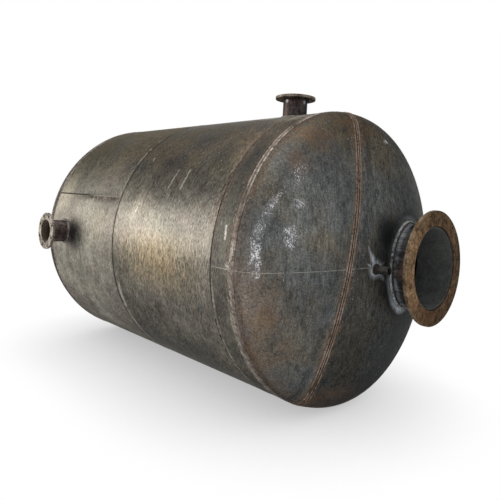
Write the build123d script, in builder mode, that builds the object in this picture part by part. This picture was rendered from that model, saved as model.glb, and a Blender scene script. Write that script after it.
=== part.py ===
from build123d import *
from math import atan2, cos, degrees, radians, sin, sqrt
import os

# Horizontal welded steel tank: three rolled courses, two dished ends of two pressed plates each,
# a manhole in the front end, a flanged nozzle on top, another on the near side, and a pipe stub.
# Millimetres. +X runs along the tank to the manhole end, -Y is the near side, +Z is up.
# The origin is on the floor under the middle of the shell.

# Shell courses, measured from weld to weld
tank_od = 1829.0
shell_wall = 10.0
rear_course_length = 1010.0
middle_course_length = 1055.0
front_ring_length = 170.0
rear_seam_angle = 19.0
middle_seam_angle = 160.0
ring_seam_angle = 200.0

# Dished ends: crown and knuckle radii as shares of the tank's diameter
crown_share = 1.0
knuckle_share = 0.1
straight_flange = 6.0
chord_offset = 211.0
chord_lean = 22.9
chord_roll = 9.9

# Butt welds: the gap between plates and the caps that lie over it
root_gap = 3.0
girth_cap_width = 26.0
girth_cap_top = 14.0
girth_cap_height = 3.0
flush_cap_width = 10.0
flush_cap_top = 6.0
flush_cap_height = 1.0
chord_cap_width = 24.0
chord_cap_height = 2.5

# Manhole in the front end, a slip-on ring flange with no bolt holes
manhole_offset = 282.0
manhole_drop = 17.0
manhole_reach = 145.0
neck_od = 508.0
neck_wall = 9.5
neck_inside = 12.0
manhole_flange_width = 94.25
manhole_flange_thickness = 22.0
manhole_flange_edge = 2.0
manhole_setback = 9.0
neck_weld_width = 20.0
neck_weld_height = 12.0

# Top and side nozzles, alike
top_nozzle_setback = 269.0
side_nozzle_setback = 241.0
nozzle_reach = 150.0
pipe_od = 168.3
pipe_wall = 7.1
pipe_inside = 15.0
flange_width = 54.55
flange_thickness = 18.0
flange_edge = 1.5
bolt_inset = 19.05
bolt_hole = 22.4
bolt_count = 8
flange_setback = 7.0
nozzle_weld_leg = 12.0

# Small pipe stub beside the manhole
stub_offset = 133.0
stub_drop = 20.0
stub_od = 48.3
stub_wall = 3.7
stub_reach = 80.0
stub_inside = 8.0
stub_weld_leg = 8.0

# Fits and cutting
slip_clearance = 1.0
flange_weld_leg = 9.0
seal_share = 0.7
weld_bevel_share = 0.7
overrun = 40.0

# Places worked out from the sizes above
tank_r = tank_od / 2
inner_r = tank_r - shell_wall
half_length = (rear_course_length + middle_course_length + front_ring_length) / 2
axis_z = tank_r + girth_cap_height
rear_seam_x = -half_length
first_seam_x = rear_seam_x + rear_course_length
second_seam_x = first_seam_x + middle_course_length
front_seam_x = half_length
tank_axis = Axis((0, 0, axis_z), (1, 0, 0))
gap_angle = degrees(root_gap / tank_r)
flush_cap_angle = degrees(flush_cap_width / tank_r)
crown_r = crown_share * tank_od
knuckle_r = knuckle_share * tank_od
tangent_x = front_seam_x + straight_flange
crown_depth = crown_r - sqrt((crown_r - knuckle_r) ** 2 - (tank_r - knuckle_r) ** 2)
crown_x = tangent_x + crown_depth
crown_centre_x = crown_x - crown_r
neck_r = neck_od / 2
pipe_r = pipe_od / 2
stub_r = stub_od / 2
manhole_flange_r = neck_r + slip_clearance + manhole_flange_width
flange_r = pipe_r + slip_clearance + flange_width
bolt_circle_r = flange_r - bolt_inset
cap_edge_x = front_seam_x + girth_cap_width / 2

# A half plane through the tank's axis: local x runs along the tank, local y points outward
# at the given angle above the near side.
def ray_plane(angle):
    lean = radians(angle)
    return Plane(origin=(0, 0, axis_z), x_dir=(1, 0, 0), z_dir=(0, -sin(lean), -cos(lean)))


# The joint between the two plates of an end lies in a plane that leans to the axis
chord_normal = (
    sin(radians(chord_lean)) * cos(radians(chord_roll)),
    cos(radians(chord_lean)) * cos(radians(chord_roll)),
    -sin(radians(chord_roll)),
)
chord_plane = Plane(origin=(front_seam_x, -chord_offset, axis_z), z_dir=chord_normal)
profile_plane = ray_plane(90)
manhole_z = axis_z - manhole_drop
manhole_plane = Plane(origin=(0, manhole_offset, manhole_z), x_dir=(0, 1, 0), z_dir=(1, 0, 0))
manhole_axis = Axis((0, manhole_offset, manhole_z), (1, 0, 0))
manhole_face_x = crown_x + manhole_reach
manhole_back_x = manhole_face_x - manhole_flange_thickness
stub_plane = Plane(origin=(0, -stub_offset, axis_z - stub_drop), x_dir=(0, 1, 0), z_dir=(1, 0, 0))
stub_end_x = crown_x + stub_reach
top_nozzle_x = second_seam_x - top_nozzle_setback
side_nozzle_x = rear_seam_x + side_nozzle_setback
top_port = Plane(origin=(top_nozzle_x, 0, axis_z), x_dir=(1, 0, 0), z_dir=(0, 0, 1))
side_port = Plane(origin=(side_nozzle_x, 0, axis_z), x_dir=(1, 0, 0), z_dir=(0, -1, 0))
nozzle_face = tank_r + nozzle_reach
nozzle_back = nozzle_face - flange_thickness
crown_centre = (crown_centre_x, 0, axis_z)

os.makedirs("parts", exist_ok=True)

# Rear course: one rolled plate with its lengthwise gap, holed for the side nozzle
with BuildPart() as rear_course:
    with BuildSketch(ray_plane(rear_seam_angle - gap_angle / 2)):
        with Locations(((rear_seam_x + first_seam_x) / 2, (inner_r + tank_r) / 2)):
            Rectangle(rear_course_length - root_gap, shell_wall)
    revolve(axis=tank_axis, revolution_arc=360 - gap_angle)
    with BuildSketch(side_port.offset(tank_r / 2)):
        Circle(pipe_r + slip_clearance)
    extrude(amount=tank_r / 2 + overrun, mode=Mode.SUBTRACT)
rear_course.part.label = "rear_course"
export_step(rear_course.part, "parts/rear_course.step")

# Middle course, holed for the top nozzle
with BuildPart() as middle_course:
    with BuildSketch(ray_plane(middle_seam_angle - gap_angle / 2)):
        with Locations(((first_seam_x + second_seam_x) / 2, (inner_r + tank_r) / 2)):
            Rectangle(middle_course_length - root_gap, shell_wall)
    revolve(axis=tank_axis, revolution_arc=360 - gap_angle)
    with BuildSketch(top_port.offset(tank_r / 2)):
        Circle(pipe_r + slip_clearance)
    extrude(amount=tank_r / 2 + overrun, mode=Mode.SUBTRACT)
middle_course.part.label = "middle_course"
export_step(middle_course.part, "parts/middle_course.step")

# Front make-up ring
with BuildPart() as front_ring:
    with BuildSketch(ray_plane(ring_seam_angle - gap_angle / 2)):
        with Locations(((second_seam_x + front_seam_x) / 2, (inner_r + tank_r) / 2)):
            Rectangle(front_ring_length - root_gap, shell_wall)
    revolve(axis=tank_axis, revolution_arc=360 - gap_angle)
front_ring.part.label = "front_ring"
export_step(front_ring.part, "parts/front_ring.step")

# Where the knuckle runs into the crown, seen from the crown's centre
blend_angle = degrees(atan2(tank_r - knuckle_r, tangent_x - crown_centre_x))
plate_edge_x = front_seam_x + root_gap / 2

# Section of a dished end: straight flange, knuckle and crown, one wall thick
with BuildSketch(profile_plane) as end_section:
    with BuildLine():
        Line((plate_edge_x, tank_r), (tangent_x, tank_r))
        CenterArc((tangent_x, tank_r - knuckle_r), knuckle_r, 90, blend_angle - 90)
        CenterArc((crown_centre_x, 0), crown_r, blend_angle, -blend_angle)
        Line((crown_x, 0), (crown_x - shell_wall, 0))
        CenterArc((crown_centre_x, 0), crown_r - shell_wall, 0, blend_angle)
        CenterArc((tangent_x, tank_r - knuckle_r), knuckle_r - shell_wall, blend_angle, 90 - blend_angle)
        Line((tangent_x, inner_r), (plate_edge_x, inner_r))
        Line((plate_edge_x, inner_r), (plate_edge_x, tank_r))
    make_face()

# Section of the layer over that end in which the chord weld's cap lies
with BuildSketch(profile_plane) as cap_section:
    with BuildLine():
        Line((plate_edge_x, tank_r), (tangent_x, tank_r))
        CenterArc((tangent_x, tank_r - knuckle_r), knuckle_r, 90, blend_angle - 90)
        CenterArc((crown_centre_x, 0), crown_r, blend_angle, -blend_angle)
        Line((crown_x, 0), (crown_x + chord_cap_height, 0))
        CenterArc((crown_centre_x, 0), crown_r + chord_cap_height, 0, blend_angle)
        CenterArc((tangent_x, tank_r - knuckle_r), knuckle_r + chord_cap_height, blend_angle, 90 - blend_angle)
        Line((tangent_x, tank_r + chord_cap_height), (plate_edge_x, tank_r + chord_cap_height))
        Line((plate_edge_x, tank_r + chord_cap_height), (plate_edge_x, tank_r))
    make_face()

# Main plate of a dished end before it is holed
with BuildPart() as end_main:
    revolve(end_section.sketch, axis=tank_axis)
    split(bisect_by=chord_plane.offset(root_gap / 2), keep=Keep.TOP)

# Segment on the near side of the joint
with BuildPart() as front_head_side:
    revolve(end_section.sketch, axis=tank_axis)
    split(bisect_by=chord_plane.offset(-root_gap / 2), keep=Keep.BOTTOM)
front_head_side.part.label = "front_head_side"
export_step(front_head_side.part, "parts/front_head_side.step")

# Front main plate, holed for the manhole neck and the stub
with BuildPart() as front_head_main:
    add(end_main.part)
    with BuildSketch(manhole_plane.offset(front_seam_x)):
        Circle(neck_r + slip_clearance)
    extrude(amount=crown_x - front_seam_x + overrun, mode=Mode.SUBTRACT)
    with BuildSketch(stub_plane.offset(front_seam_x)):
        Circle(stub_r + slip_clearance)
    extrude(amount=crown_x - front_seam_x + overrun, mode=Mode.SUBTRACT)
front_head_main.part.label = "front_head_main"
export_step(front_head_main.part, "parts/front_head_main.step")

# Weld between the two plates: a root in the gap and a cap that follows the dished face
with BuildPart() as front_chord_weld:
    revolve(end_section.sketch, axis=tank_axis)
    split(bisect_by=chord_plane.offset(root_gap / 2), keep=Keep.BOTTOM)
    split(bisect_by=chord_plane.offset(-root_gap / 2), keep=Keep.TOP)
    cap = revolve(cap_section.sketch, axis=tank_axis, mode=Mode.PRIVATE)
    cap = split(cap, bisect_by=chord_plane.offset(chord_cap_width / 2), keep=Keep.BOTTOM, mode=Mode.PRIVATE)
    cap = split(cap, bisect_by=chord_plane.offset(-chord_cap_width / 2), keep=Keep.TOP, mode=Mode.PRIVATE)
    cap = split(cap, bisect_by=Plane.YZ.offset(cap_edge_x), keep=Keep.TOP, mode=Mode.PRIVATE)
    add(cap)
front_chord_weld.part.label = "front_chord_weld"
export_step(front_chord_weld.part, "parts/front_chord_weld.step")

# Rear end, the front one mirrored and left whole
with BuildPart() as rear_head_main:
    mirror(end_main.part, about=Plane.YZ)
rear_head_main.part.label = "rear_head_main"
export_step(rear_head_main.part, "parts/rear_head_main.step")

with BuildPart() as rear_head_side:
    mirror(front_head_side.part, about=Plane.YZ)
rear_head_side.part.label = "rear_head_side"
export_step(rear_head_side.part, "parts/rear_head_side.step")

with BuildPart() as rear_chord_weld:
    mirror(front_chord_weld.part, about=Plane.YZ)
rear_chord_weld.part.label = "rear_chord_weld"
export_step(rear_chord_weld.part, "parts/rear_chord_weld.step")


# Outline of a girth weld about the place of its seam: the root, then the cap over both plates
def girth_points(seam_x, width, top, height):
    return [
        (seam_x - root_gap / 2, inner_r),
        (seam_x + root_gap / 2, inner_r),
        (seam_x + root_gap / 2, tank_r),
        (seam_x + width / 2, tank_r),
        (seam_x + top / 2, tank_r + height),
        (seam_x - top / 2, tank_r + height),
        (seam_x - width / 2, tank_r),
        (seam_x - root_gap / 2, tank_r),
    ]


# Raised girth welds at the two ends, on which the tank lies
with BuildPart() as front_girth_weld:
    with BuildSketch(profile_plane):
        with BuildLine():
            Polyline(*girth_points(front_seam_x, girth_cap_width, girth_cap_top, girth_cap_height), close=True)
        make_face()
    revolve(axis=tank_axis)
front_girth_weld.part.label = "front_girth_weld"
export_step(front_girth_weld.part, "parts/front_girth_weld.step")

with BuildPart() as rear_girth_weld:
    with BuildSketch(profile_plane):
        with BuildLine():
            Polyline(*girth_points(rear_seam_x, girth_cap_width, girth_cap_top, girth_cap_height), close=True)
        make_face()
    revolve(axis=tank_axis)
rear_girth_weld.part.label = "rear_girth_weld"
export_step(rear_girth_weld.part, "parts/rear_girth_weld.step")

# Low girth welds between the courses
with BuildPart() as first_girth_weld:
    with BuildSketch(profile_plane):
        with BuildLine():
            Polyline(*girth_points(first_seam_x, flush_cap_width, flush_cap_top, flush_cap_height), close=True)
        make_face()
    revolve(axis=tank_axis)
first_girth_weld.part.label = "first_girth_weld"
export_step(first_girth_weld.part, "parts/first_girth_weld.step")

with BuildPart() as second_girth_weld:
    with BuildSketch(profile_plane):
        with BuildLine():
            Polyline(*girth_points(second_seam_x, flush_cap_width, flush_cap_top, flush_cap_height), close=True)
        make_face()
    revolve(axis=tank_axis)
second_girth_weld.part.label = "second_girth_weld"
export_step(second_girth_weld.part, "parts/second_girth_weld.step")

# Lengthwise welds, one on each course, between the girth welds
with BuildPart() as rear_long_weld:
    with BuildSketch(ray_plane(rear_seam_angle + gap_angle / 2)):
        with Locations(((rear_seam_x + first_seam_x) / 2, (inner_r + tank_r) / 2)):
            Rectangle(rear_course_length - root_gap, shell_wall)
    revolve(axis=tank_axis, revolution_arc=gap_angle)
    with BuildSketch(ray_plane(rear_seam_angle + flush_cap_angle / 2)):
        with BuildLine():
            Polyline(
                (rear_seam_x + girth_cap_width / 2, tank_r),
                (first_seam_x - flush_cap_width / 2, tank_r),
                (first_seam_x - flush_cap_width / 2, tank_r + flush_cap_height),
                (rear_seam_x + girth_cap_width / 2, tank_r + flush_cap_height),
                close=True,
            )
        make_face()
    revolve(axis=tank_axis, revolution_arc=flush_cap_angle)
rear_long_weld.part.label = "rear_long_weld"
export_step(rear_long_weld.part, "parts/rear_long_weld.step")

with BuildPart() as middle_long_weld:
    with BuildSketch(ray_plane(middle_seam_angle + gap_angle / 2)):
        with Locations(((first_seam_x + second_seam_x) / 2, (inner_r + tank_r) / 2)):
            Rectangle(middle_course_length - root_gap, shell_wall)
    revolve(axis=tank_axis, revolution_arc=gap_angle)
    with BuildSketch(ray_plane(middle_seam_angle + flush_cap_angle / 2)):
        with BuildLine():
            Polyline(
                (first_seam_x + flush_cap_width / 2, tank_r),
                (second_seam_x - flush_cap_width / 2, tank_r),
                (second_seam_x - flush_cap_width / 2, tank_r + flush_cap_height),
                (first_seam_x + flush_cap_width / 2, tank_r + flush_cap_height),
                close=True,
            )
        make_face()
    revolve(axis=tank_axis, revolution_arc=flush_cap_angle)
middle_long_weld.part.label = "middle_long_weld"
export_step(middle_long_weld.part, "parts/middle_long_weld.step")

with BuildPart() as ring_long_weld:
    with BuildSketch(ray_plane(ring_seam_angle + gap_angle / 2)):
        with Locations(((second_seam_x + front_seam_x) / 2, (inner_r + tank_r) / 2)):
            Rectangle(front_ring_length - root_gap, shell_wall)
    revolve(axis=tank_axis, revolution_arc=gap_angle)
    with BuildSketch(ray_plane(ring_seam_angle + flush_cap_angle / 2)):
        with BuildLine():
            Polyline(
                (second_seam_x + flush_cap_width / 2, tank_r),
                (front_seam_x - girth_cap_width / 2, tank_r),
                (front_seam_x - girth_cap_width / 2, tank_r + flush_cap_height),
                (second_seam_x + flush_cap_width / 2, tank_r + flush_cap_height),
                close=True,
            )
        make_face()
    revolve(axis=tank_axis, revolution_arc=flush_cap_angle)
ring_long_weld.part.label = "ring_long_weld"
export_step(ring_long_weld.part, "parts/ring_long_weld.step")

# Manhole neck: a pipe through the end, its inner end trimmed to follow the crown
with BuildPart() as manhole_neck:
    with BuildSketch(manhole_plane.offset(front_seam_x)):
        Circle(neck_r)
        Circle(neck_r - neck_wall, mode=Mode.SUBTRACT)
    extrude(amount=manhole_face_x - manhole_setback - front_seam_x)
    with Locations(crown_centre):
        Sphere(crown_r - shell_wall - neck_inside, mode=Mode.SUBTRACT)
manhole_neck.part.label = "manhole_neck"
export_step(manhole_neck.part, "parts/manhole_neck.step")

# Saddle weld round the neck: a band of the layer over the crown, bevelled at its outer edge
with BuildPart() as manhole_neck_weld:
    with BuildSketch(manhole_plane.offset(front_seam_x)):
        Circle(neck_r + neck_weld_width)
        Circle(neck_r, mode=Mode.SUBTRACT)
    extrude(amount=crown_x - front_seam_x + overrun)
    with Locations(crown_centre):
        Sphere(crown_r + neck_weld_height, mode=Mode.INTERSECT)
    with Locations(crown_centre):
        Sphere(crown_r, mode=Mode.SUBTRACT)
    outer_edges = manhole_neck_weld.edges().sort_by(SortBy.LENGTH)[-2:]
    chamfer(outer_edges.sort_by(Axis.X)[-1], length=weld_bevel_share * neck_weld_height)
manhole_neck_weld.part.label = "manhole_neck_weld"
export_step(manhole_neck_weld.part, "parts/manhole_neck_weld.step")

# Manhole flange, a plain ring slipped over the neck
with BuildPart() as manhole_flange:
    with BuildSketch(manhole_plane.offset(manhole_back_x)):
        Circle(manhole_flange_r)
        Circle(neck_r + slip_clearance, mode=Mode.SUBTRACT)
    extrude(amount=manhole_flange_thickness)
    rims = manhole_flange.edges().filter_by(GeomType.CIRCLE).group_by(SortBy.RADIUS)[-1]
    chamfer(rims, length=manhole_flange_edge)
manhole_flange.part.label = "manhole_flange"
export_step(manhole_flange.part, "parts/manhole_flange.step")

# Fillet weld behind the flange and seal weld in front of the neck's end
manhole_section = Plane(origin=(0, manhole_offset, manhole_z), x_dir=(1, 0, 0), z_dir=(0, -1, 0))
neck_end_x = manhole_face_x - manhole_setback
with BuildPart() as manhole_flange_weld:
    with BuildSketch(manhole_section):
        with BuildLine():
            Polyline(
                (manhole_back_x, neck_r),
                (manhole_back_x, neck_r + flange_weld_leg),
                (manhole_back_x - flange_weld_leg, neck_r),
                close=True,
            )
        make_face()
    revolve(axis=manhole_axis)
manhole_flange_weld.part.label = "manhole_flange_weld"
export_step(manhole_flange_weld.part, "parts/manhole_flange_weld.step")

with BuildPart() as manhole_seal_weld:
    with BuildSketch(manhole_section):
        with BuildLine():
            Polyline(
                (neck_end_x, neck_r - seal_share * manhole_setback),
                (neck_end_x, neck_r + slip_clearance),
                (neck_end_x + seal_share * manhole_setback, neck_r + slip_clearance),
                close=True,
            )
        make_face()
    revolve(axis=manhole_axis)
manhole_seal_weld.part.label = "manhole_seal_weld"
export_step(manhole_seal_weld.part, "parts/manhole_seal_weld.step")

# Pipe stub beside the manhole, open at its end, and its weld
with BuildPart() as pipe_stub:
    with BuildSketch(stub_plane.offset(front_seam_x)):
        Circle(stub_r)
        Circle(stub_r - stub_wall, mode=Mode.SUBTRACT)
    extrude(amount=stub_end_x - front_seam_x)
    with Locations(crown_centre):
        Sphere(crown_r - shell_wall - stub_inside, mode=Mode.SUBTRACT)
pipe_stub.part.label = "pipe_stub"
export_step(pipe_stub.part, "parts/pipe_stub.step")

with BuildPart() as pipe_stub_weld:
    with BuildSketch(stub_plane.offset(front_seam_x)):
        Circle(stub_r + stub_weld_leg)
        Circle(stub_r, mode=Mode.SUBTRACT)
    extrude(amount=crown_x - front_seam_x + overrun)
    with Locations(crown_centre):
        Sphere(crown_r + stub_weld_leg, mode=Mode.INTERSECT)
    with Locations(crown_centre):
        Sphere(crown_r, mode=Mode.SUBTRACT)
    outer_edges = pipe_stub_weld.edges().sort_by(SortBy.LENGTH)[-2:]
    chamfer(outer_edges.sort_by(Axis.X)[-1], length=weld_bevel_share * stub_weld_leg)
pipe_stub_weld.part.label = "pipe_stub_weld"
export_step(pipe_stub_weld.part, "parts/pipe_stub_weld.step")

# Top nozzle: pipe through the shell, drilled slip-on flange, and three welds
with BuildPart() as top_nozzle_pipe:
    with BuildSketch(top_port.offset(inner_r - pipe_inside)):
        Circle(pipe_r)
        Circle(pipe_r - pipe_wall, mode=Mode.SUBTRACT)
    extrude(amount=nozzle_face - flange_setback - inner_r + pipe_inside)
top_nozzle_pipe.part.label = "top_nozzle_pipe"
export_step(top_nozzle_pipe.part, "parts/top_nozzle_pipe.step")

with BuildPart() as top_nozzle_flange:
    with BuildSketch(top_port.offset(nozzle_back)):
        Circle(flange_r)
        Circle(pipe_r + slip_clearance, mode=Mode.SUBTRACT)
        with PolarLocations(bolt_circle_r, bolt_count, start_angle=180 / bolt_count):
            Circle(bolt_hole / 2, mode=Mode.SUBTRACT)
    extrude(amount=flange_thickness)
    rims = top_nozzle_flange.edges().filter_by(GeomType.CIRCLE).group_by(SortBy.RADIUS)[-1]
    chamfer(rims, length=flange_edge)
top_nozzle_flange.part.label = "top_nozzle_flange"
export_step(top_nozzle_flange.part, "parts/top_nozzle_flange.step")

with BuildPart() as top_nozzle_weld:
    with BuildSketch(top_port.offset(tank_r / 2)):
        Circle(pipe_r + nozzle_weld_leg)
        Circle(pipe_r, mode=Mode.SUBTRACT)
    extrude(amount=tank_r / 2 + overrun)
    with Locations(Plane(origin=top_port.origin, z_dir=(1, 0, 0))):
        Cylinder(tank_r + nozzle_weld_leg, 2 * flange_r, mode=Mode.INTERSECT)
    with Locations(Plane(origin=top_port.origin, z_dir=(1, 0, 0))):
        Cylinder(tank_r, 2 * flange_r, mode=Mode.SUBTRACT)
    outer_edges = top_nozzle_weld.edges().sort_by(SortBy.LENGTH)[-2:]
    chamfer(outer_edges.sort_by(Axis.Z)[-1], length=weld_bevel_share * nozzle_weld_leg)
top_nozzle_weld.part.label = "top_nozzle_weld"
export_step(top_nozzle_weld.part, "parts/top_nozzle_weld.step")

# Half sections of the nozzles' flange joints: local x outward from the pipe, local y along it
pipe_end = nozzle_face - flange_setback
seal_leg = seal_share * flange_setback
top_section = Plane(origin=top_port.origin, x_dir=(1, 0, 0), z_dir=(0, -1, 0))
top_axis = Axis(top_port.origin, top_port.z_dir)
with BuildPart() as top_flange_weld:
    with BuildSketch(top_section):
        with BuildLine():
            Polyline(
                (pipe_r, nozzle_back),
                (pipe_r + flange_weld_leg, nozzle_back),
                (pipe_r, nozzle_back - flange_weld_leg),
                close=True,
            )
        make_face()
    revolve(axis=top_axis)
top_flange_weld.part.label = "top_flange_weld"
export_step(top_flange_weld.part, "parts/top_flange_weld.step")

with BuildPart() as top_seal_weld:
    with BuildSketch(top_section):
        with BuildLine():
            Polyline(
                (pipe_r - seal_leg, pipe_end),
                (pipe_r + slip_clearance, pipe_end),
                (pipe_r + slip_clearance, pipe_end + seal_leg),
                close=True,
            )
        make_face()
    revolve(axis=top_axis)
top_seal_weld.part.label = "top_seal_weld"
export_step(top_seal_weld.part, "parts/top_seal_weld.step")

# Side nozzle on the near side, the same pieces
with BuildPart() as side_nozzle_pipe:
    with BuildSketch(side_port.offset(inner_r - pipe_inside)):
        Circle(pipe_r)
        Circle(pipe_r - pipe_wall, mode=Mode.SUBTRACT)
    extrude(amount=nozzle_face - flange_setback - inner_r + pipe_inside)
side_nozzle_pipe.part.label = "side_nozzle_pipe"
export_step(side_nozzle_pipe.part, "parts/side_nozzle_pipe.step")

with BuildPart() as side_nozzle_flange:
    with BuildSketch(side_port.offset(nozzle_back)):
        Circle(flange_r)
        Circle(pipe_r + slip_clearance, mode=Mode.SUBTRACT)
        with PolarLocations(bolt_circle_r, bolt_count, start_angle=180 / bolt_count):
            Circle(bolt_hole / 2, mode=Mode.SUBTRACT)
    extrude(amount=flange_thickness)
    rims = side_nozzle_flange.edges().filter_by(GeomType.CIRCLE).group_by(SortBy.RADIUS)[-1]
    chamfer(rims, length=flange_edge)
side_nozzle_flange.part.label = "side_nozzle_flange"
export_step(side_nozzle_flange.part, "parts/side_nozzle_flange.step")

with BuildPart() as side_nozzle_weld:
    with BuildSketch(side_port.offset(tank_r / 2)):
        Circle(pipe_r + nozzle_weld_leg)
        Circle(pipe_r, mode=Mode.SUBTRACT)
    extrude(amount=tank_r / 2 + overrun)
    with Locations(Plane(origin=side_port.origin, z_dir=(1, 0, 0))):
        Cylinder(tank_r + nozzle_weld_leg, 2 * flange_r, mode=Mode.INTERSECT)
    with Locations(Plane(origin=side_port.origin, z_dir=(1, 0, 0))):
        Cylinder(tank_r, 2 * flange_r, mode=Mode.SUBTRACT)
    outer_edges = side_nozzle_weld.edges().sort_by(SortBy.LENGTH)[-2:]
    chamfer(outer_edges.sort_by(Axis.Y)[0], length=weld_bevel_share * nozzle_weld_leg)
side_nozzle_weld.part.label = "side_nozzle_weld"
export_step(side_nozzle_weld.part, "parts/side_nozzle_weld.step")

side_section = Plane(origin=side_port.origin, x_dir=(1, 0, 0), z_dir=(0, 0, -1))
side_axis = Axis(side_port.origin, side_port.z_dir)
with BuildPart() as side_flange_weld:
    with BuildSketch(side_section):
        with BuildLine():
            Polyline(
                (pipe_r, nozzle_back),
                (pipe_r + flange_weld_leg, nozzle_back),
                (pipe_r, nozzle_back - flange_weld_leg),
                close=True,
            )
        make_face()
    revolve(axis=side_axis)
side_flange_weld.part.label = "side_flange_weld"
export_step(side_flange_weld.part, "parts/side_flange_weld.step")

with BuildPart() as side_seal_weld:
    with BuildSketch(side_section):
        with BuildLine():
            Polyline(
                (pipe_r - seal_leg, pipe_end),
                (pipe_r + slip_clearance, pipe_end),
                (pipe_r + slip_clearance, pipe_end + seal_leg),
                close=True,
            )
        make_face()
    revolve(axis=side_axis)
side_seal_weld.part.label = "side_seal_weld"
export_step(side_seal_weld.part, "parts/side_seal_weld.step")
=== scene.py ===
import math
from functools import reduce
from math import radians
from operator import or_

import bpy
import numpy as np
from mathutils import Matrix, Vector


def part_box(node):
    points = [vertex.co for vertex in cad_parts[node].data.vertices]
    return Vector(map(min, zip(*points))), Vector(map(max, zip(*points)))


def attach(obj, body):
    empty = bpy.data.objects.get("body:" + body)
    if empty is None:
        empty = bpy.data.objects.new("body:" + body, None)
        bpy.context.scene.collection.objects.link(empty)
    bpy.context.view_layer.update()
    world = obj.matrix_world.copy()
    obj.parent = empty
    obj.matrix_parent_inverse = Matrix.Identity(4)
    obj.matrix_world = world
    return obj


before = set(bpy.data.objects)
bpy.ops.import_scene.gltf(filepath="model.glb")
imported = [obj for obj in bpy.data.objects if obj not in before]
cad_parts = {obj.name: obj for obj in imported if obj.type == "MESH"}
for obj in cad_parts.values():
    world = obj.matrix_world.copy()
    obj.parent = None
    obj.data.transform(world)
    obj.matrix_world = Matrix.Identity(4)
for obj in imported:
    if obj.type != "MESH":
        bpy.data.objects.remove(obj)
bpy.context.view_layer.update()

bl_info = {
    "name": "Welded Storage Tank",
    "version": (1, 0, 0),
    "blender": (4, 5, 0),
    "location": "View3D > Sidebar > Tank",
    "description": "Mill-scale plates, rusty flanges, weld beads and a studio for a welded steel tank",
    "category": "Object",
}


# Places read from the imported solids, in metres


def middle(node, axis):
    low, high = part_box(node)
    return (low[axis] + high[axis]) / 2


def half_span(node, axis):
    low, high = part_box(node)
    return (high[axis] - low[axis]) / 2


def round_radius(node, axis):
    """Outside radius of a round piece about its own axis."""
    return half_span(node, 0 if axis == 2 else 2)


SHELL_R = half_span("middle_course", 2)
AXIS_Z = middle("middle_course", 2)
END_SEAM = middle("front_girth_weld", 0)
RING_SEAM = middle("second_girth_weld", 0)
COURSE_SEAM = middle("first_girth_weld", 0)
LONG_TURN = math.atan2(middle("rear_long_weld", 2) - AXIS_Z, -middle("rear_long_weld", 1))

CROWN_SHARE = 2.0
KNUCKLE_SHARE = 0.2
APEX_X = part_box("front_head_main")[1].x
CROWN_R = CROWN_SHARE * SHELL_R
CROWN_X = APEX_X - CROWN_R
KNUCKLE_R = KNUCKLE_SHARE * SHELL_R
KNUCKLE_RING = SHELL_R - KNUCKLE_R
KNUCKLE_X = CROWN_X + math.sqrt((CROWN_R - KNUCKLE_R) ** 2 - KNUCKLE_RING ** 2)
BLEND_R = KNUCKLE_RING * CROWN_R / (CROWN_R - KNUCKLE_R)

NECK_Y, NECK_Z = middle("manhole_neck", 1), middle("manhole_neck", 2)
NECK_R = half_span("manhole_neck", 1)
STUB_Y, STUB_Z = middle("pipe_stub", 1), middle("pipe_stub", 2)
STUB_R = half_span("pipe_stub", 1)
TOP_X, TOP_R = middle("top_nozzle_pipe", 0), half_span("top_nozzle_pipe", 0)
SIDE_X, SIDE_R = middle("side_nozzle_pipe", 0), half_span("side_nozzle_pipe", 0)

# Pipes: node, axis, warmth of the tint, lightness
PIPES = (
    ("manhole_neck", 0, -0.6, 1.1),
    ("top_nozzle_pipe", 2, 0.6, 0.76),
    ("side_nozzle_pipe", 1, 0.6, 1.35),
    ("pipe_stub", 0, 0.0, 1.0),
)
# Flanges: node, its pipe, axis, way it faces along that axis, seed of its bead
FLANGES = (
    ("manhole_flange", "manhole_neck", 0, 1, 71),
    ("top_nozzle_flange", "top_nozzle_pipe", 2, 1, 72),
    ("side_nozzle_flange", "side_nozzle_pipe", 1, -1, 73),
)
LOW_SEAMS = (
    "first_girth_weld",
    "second_girth_weld",
    "rear_long_weld",
    "middle_long_weld",
    "ring_long_weld",
)

# Patches of marks, painted sheen and painted shadow: place along the tank, across it and over its axis,
# spread the same three ways, strength
# Painted sheen: pale, glossier patches on the near side of the rear course
PAINTED_SHINE = (
    ((-1.00, -0.85, 0.34), (0.20, 0.30, 0.24), 1.0),
    ((-0.42, -SHELL_R, 0.08), (0.36, 0.30, 0.24), 0.5),
)
SMUDGES = (
    ((0.48, -0.60, 0.69), (0.20, 0.16, 0.13), 1.0),
    ((0.74, -0.68, 0.61), (0.15, 0.15, 0.15), 1.0),
    ((0.30, -0.72, 0.52), (0.22, 0.15, 0.12), 1.0),
    ((1.03, -0.70, 0.56), (0.12, 0.24, 0.28), 1.0),
    ((-0.25, -0.86, 0.27), (0.20, 0.20, 0.14), 0.6),
)
SPLASHES = (
    ((1.092, -0.914, -0.015), (0.040, 0.080, 0.030), 1.0),
    ((1.108, -0.908, -0.090), (0.030, 0.080, 0.100), 1.0),
)
GROUND_SPOT = (TOP_X + 0.045, -0.25, 0.880), (0.15, 0.12, 0.06)
# Painted shadow of the side nozzle on the shell, beside its foot towards the front end
SIDE_NOZZLE_SHADOW = (SIDE_X + 0.148, -SHELL_R, -0.010), (0.150, 0.30, 0.140)
SPATTERED_SPOT = (0.95, -0.31, 0.86), (0.19, 0.19, 0.11)
FRESH_RUST = (
    ((1.262, -0.48, 0.70), (0.14, 0.20, 0.13), 1.0),
    ((1.276, -0.62, 0.55), (0.10, 0.12, 0.12), 1.0),
    ((1.278, -0.79, -0.24), (0.07, 0.07, 0.10), 1.0),
    ((1.290, -0.66, -0.45), (0.10, 0.16, 0.16), 0.35),
    ((1.270, -0.25, -0.78), (0.13, 0.42, 0.15), 0.8),
    ((1.300, -0.12, 0.82), (0.20, 0.26, 0.14), 0.8),
)
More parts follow.
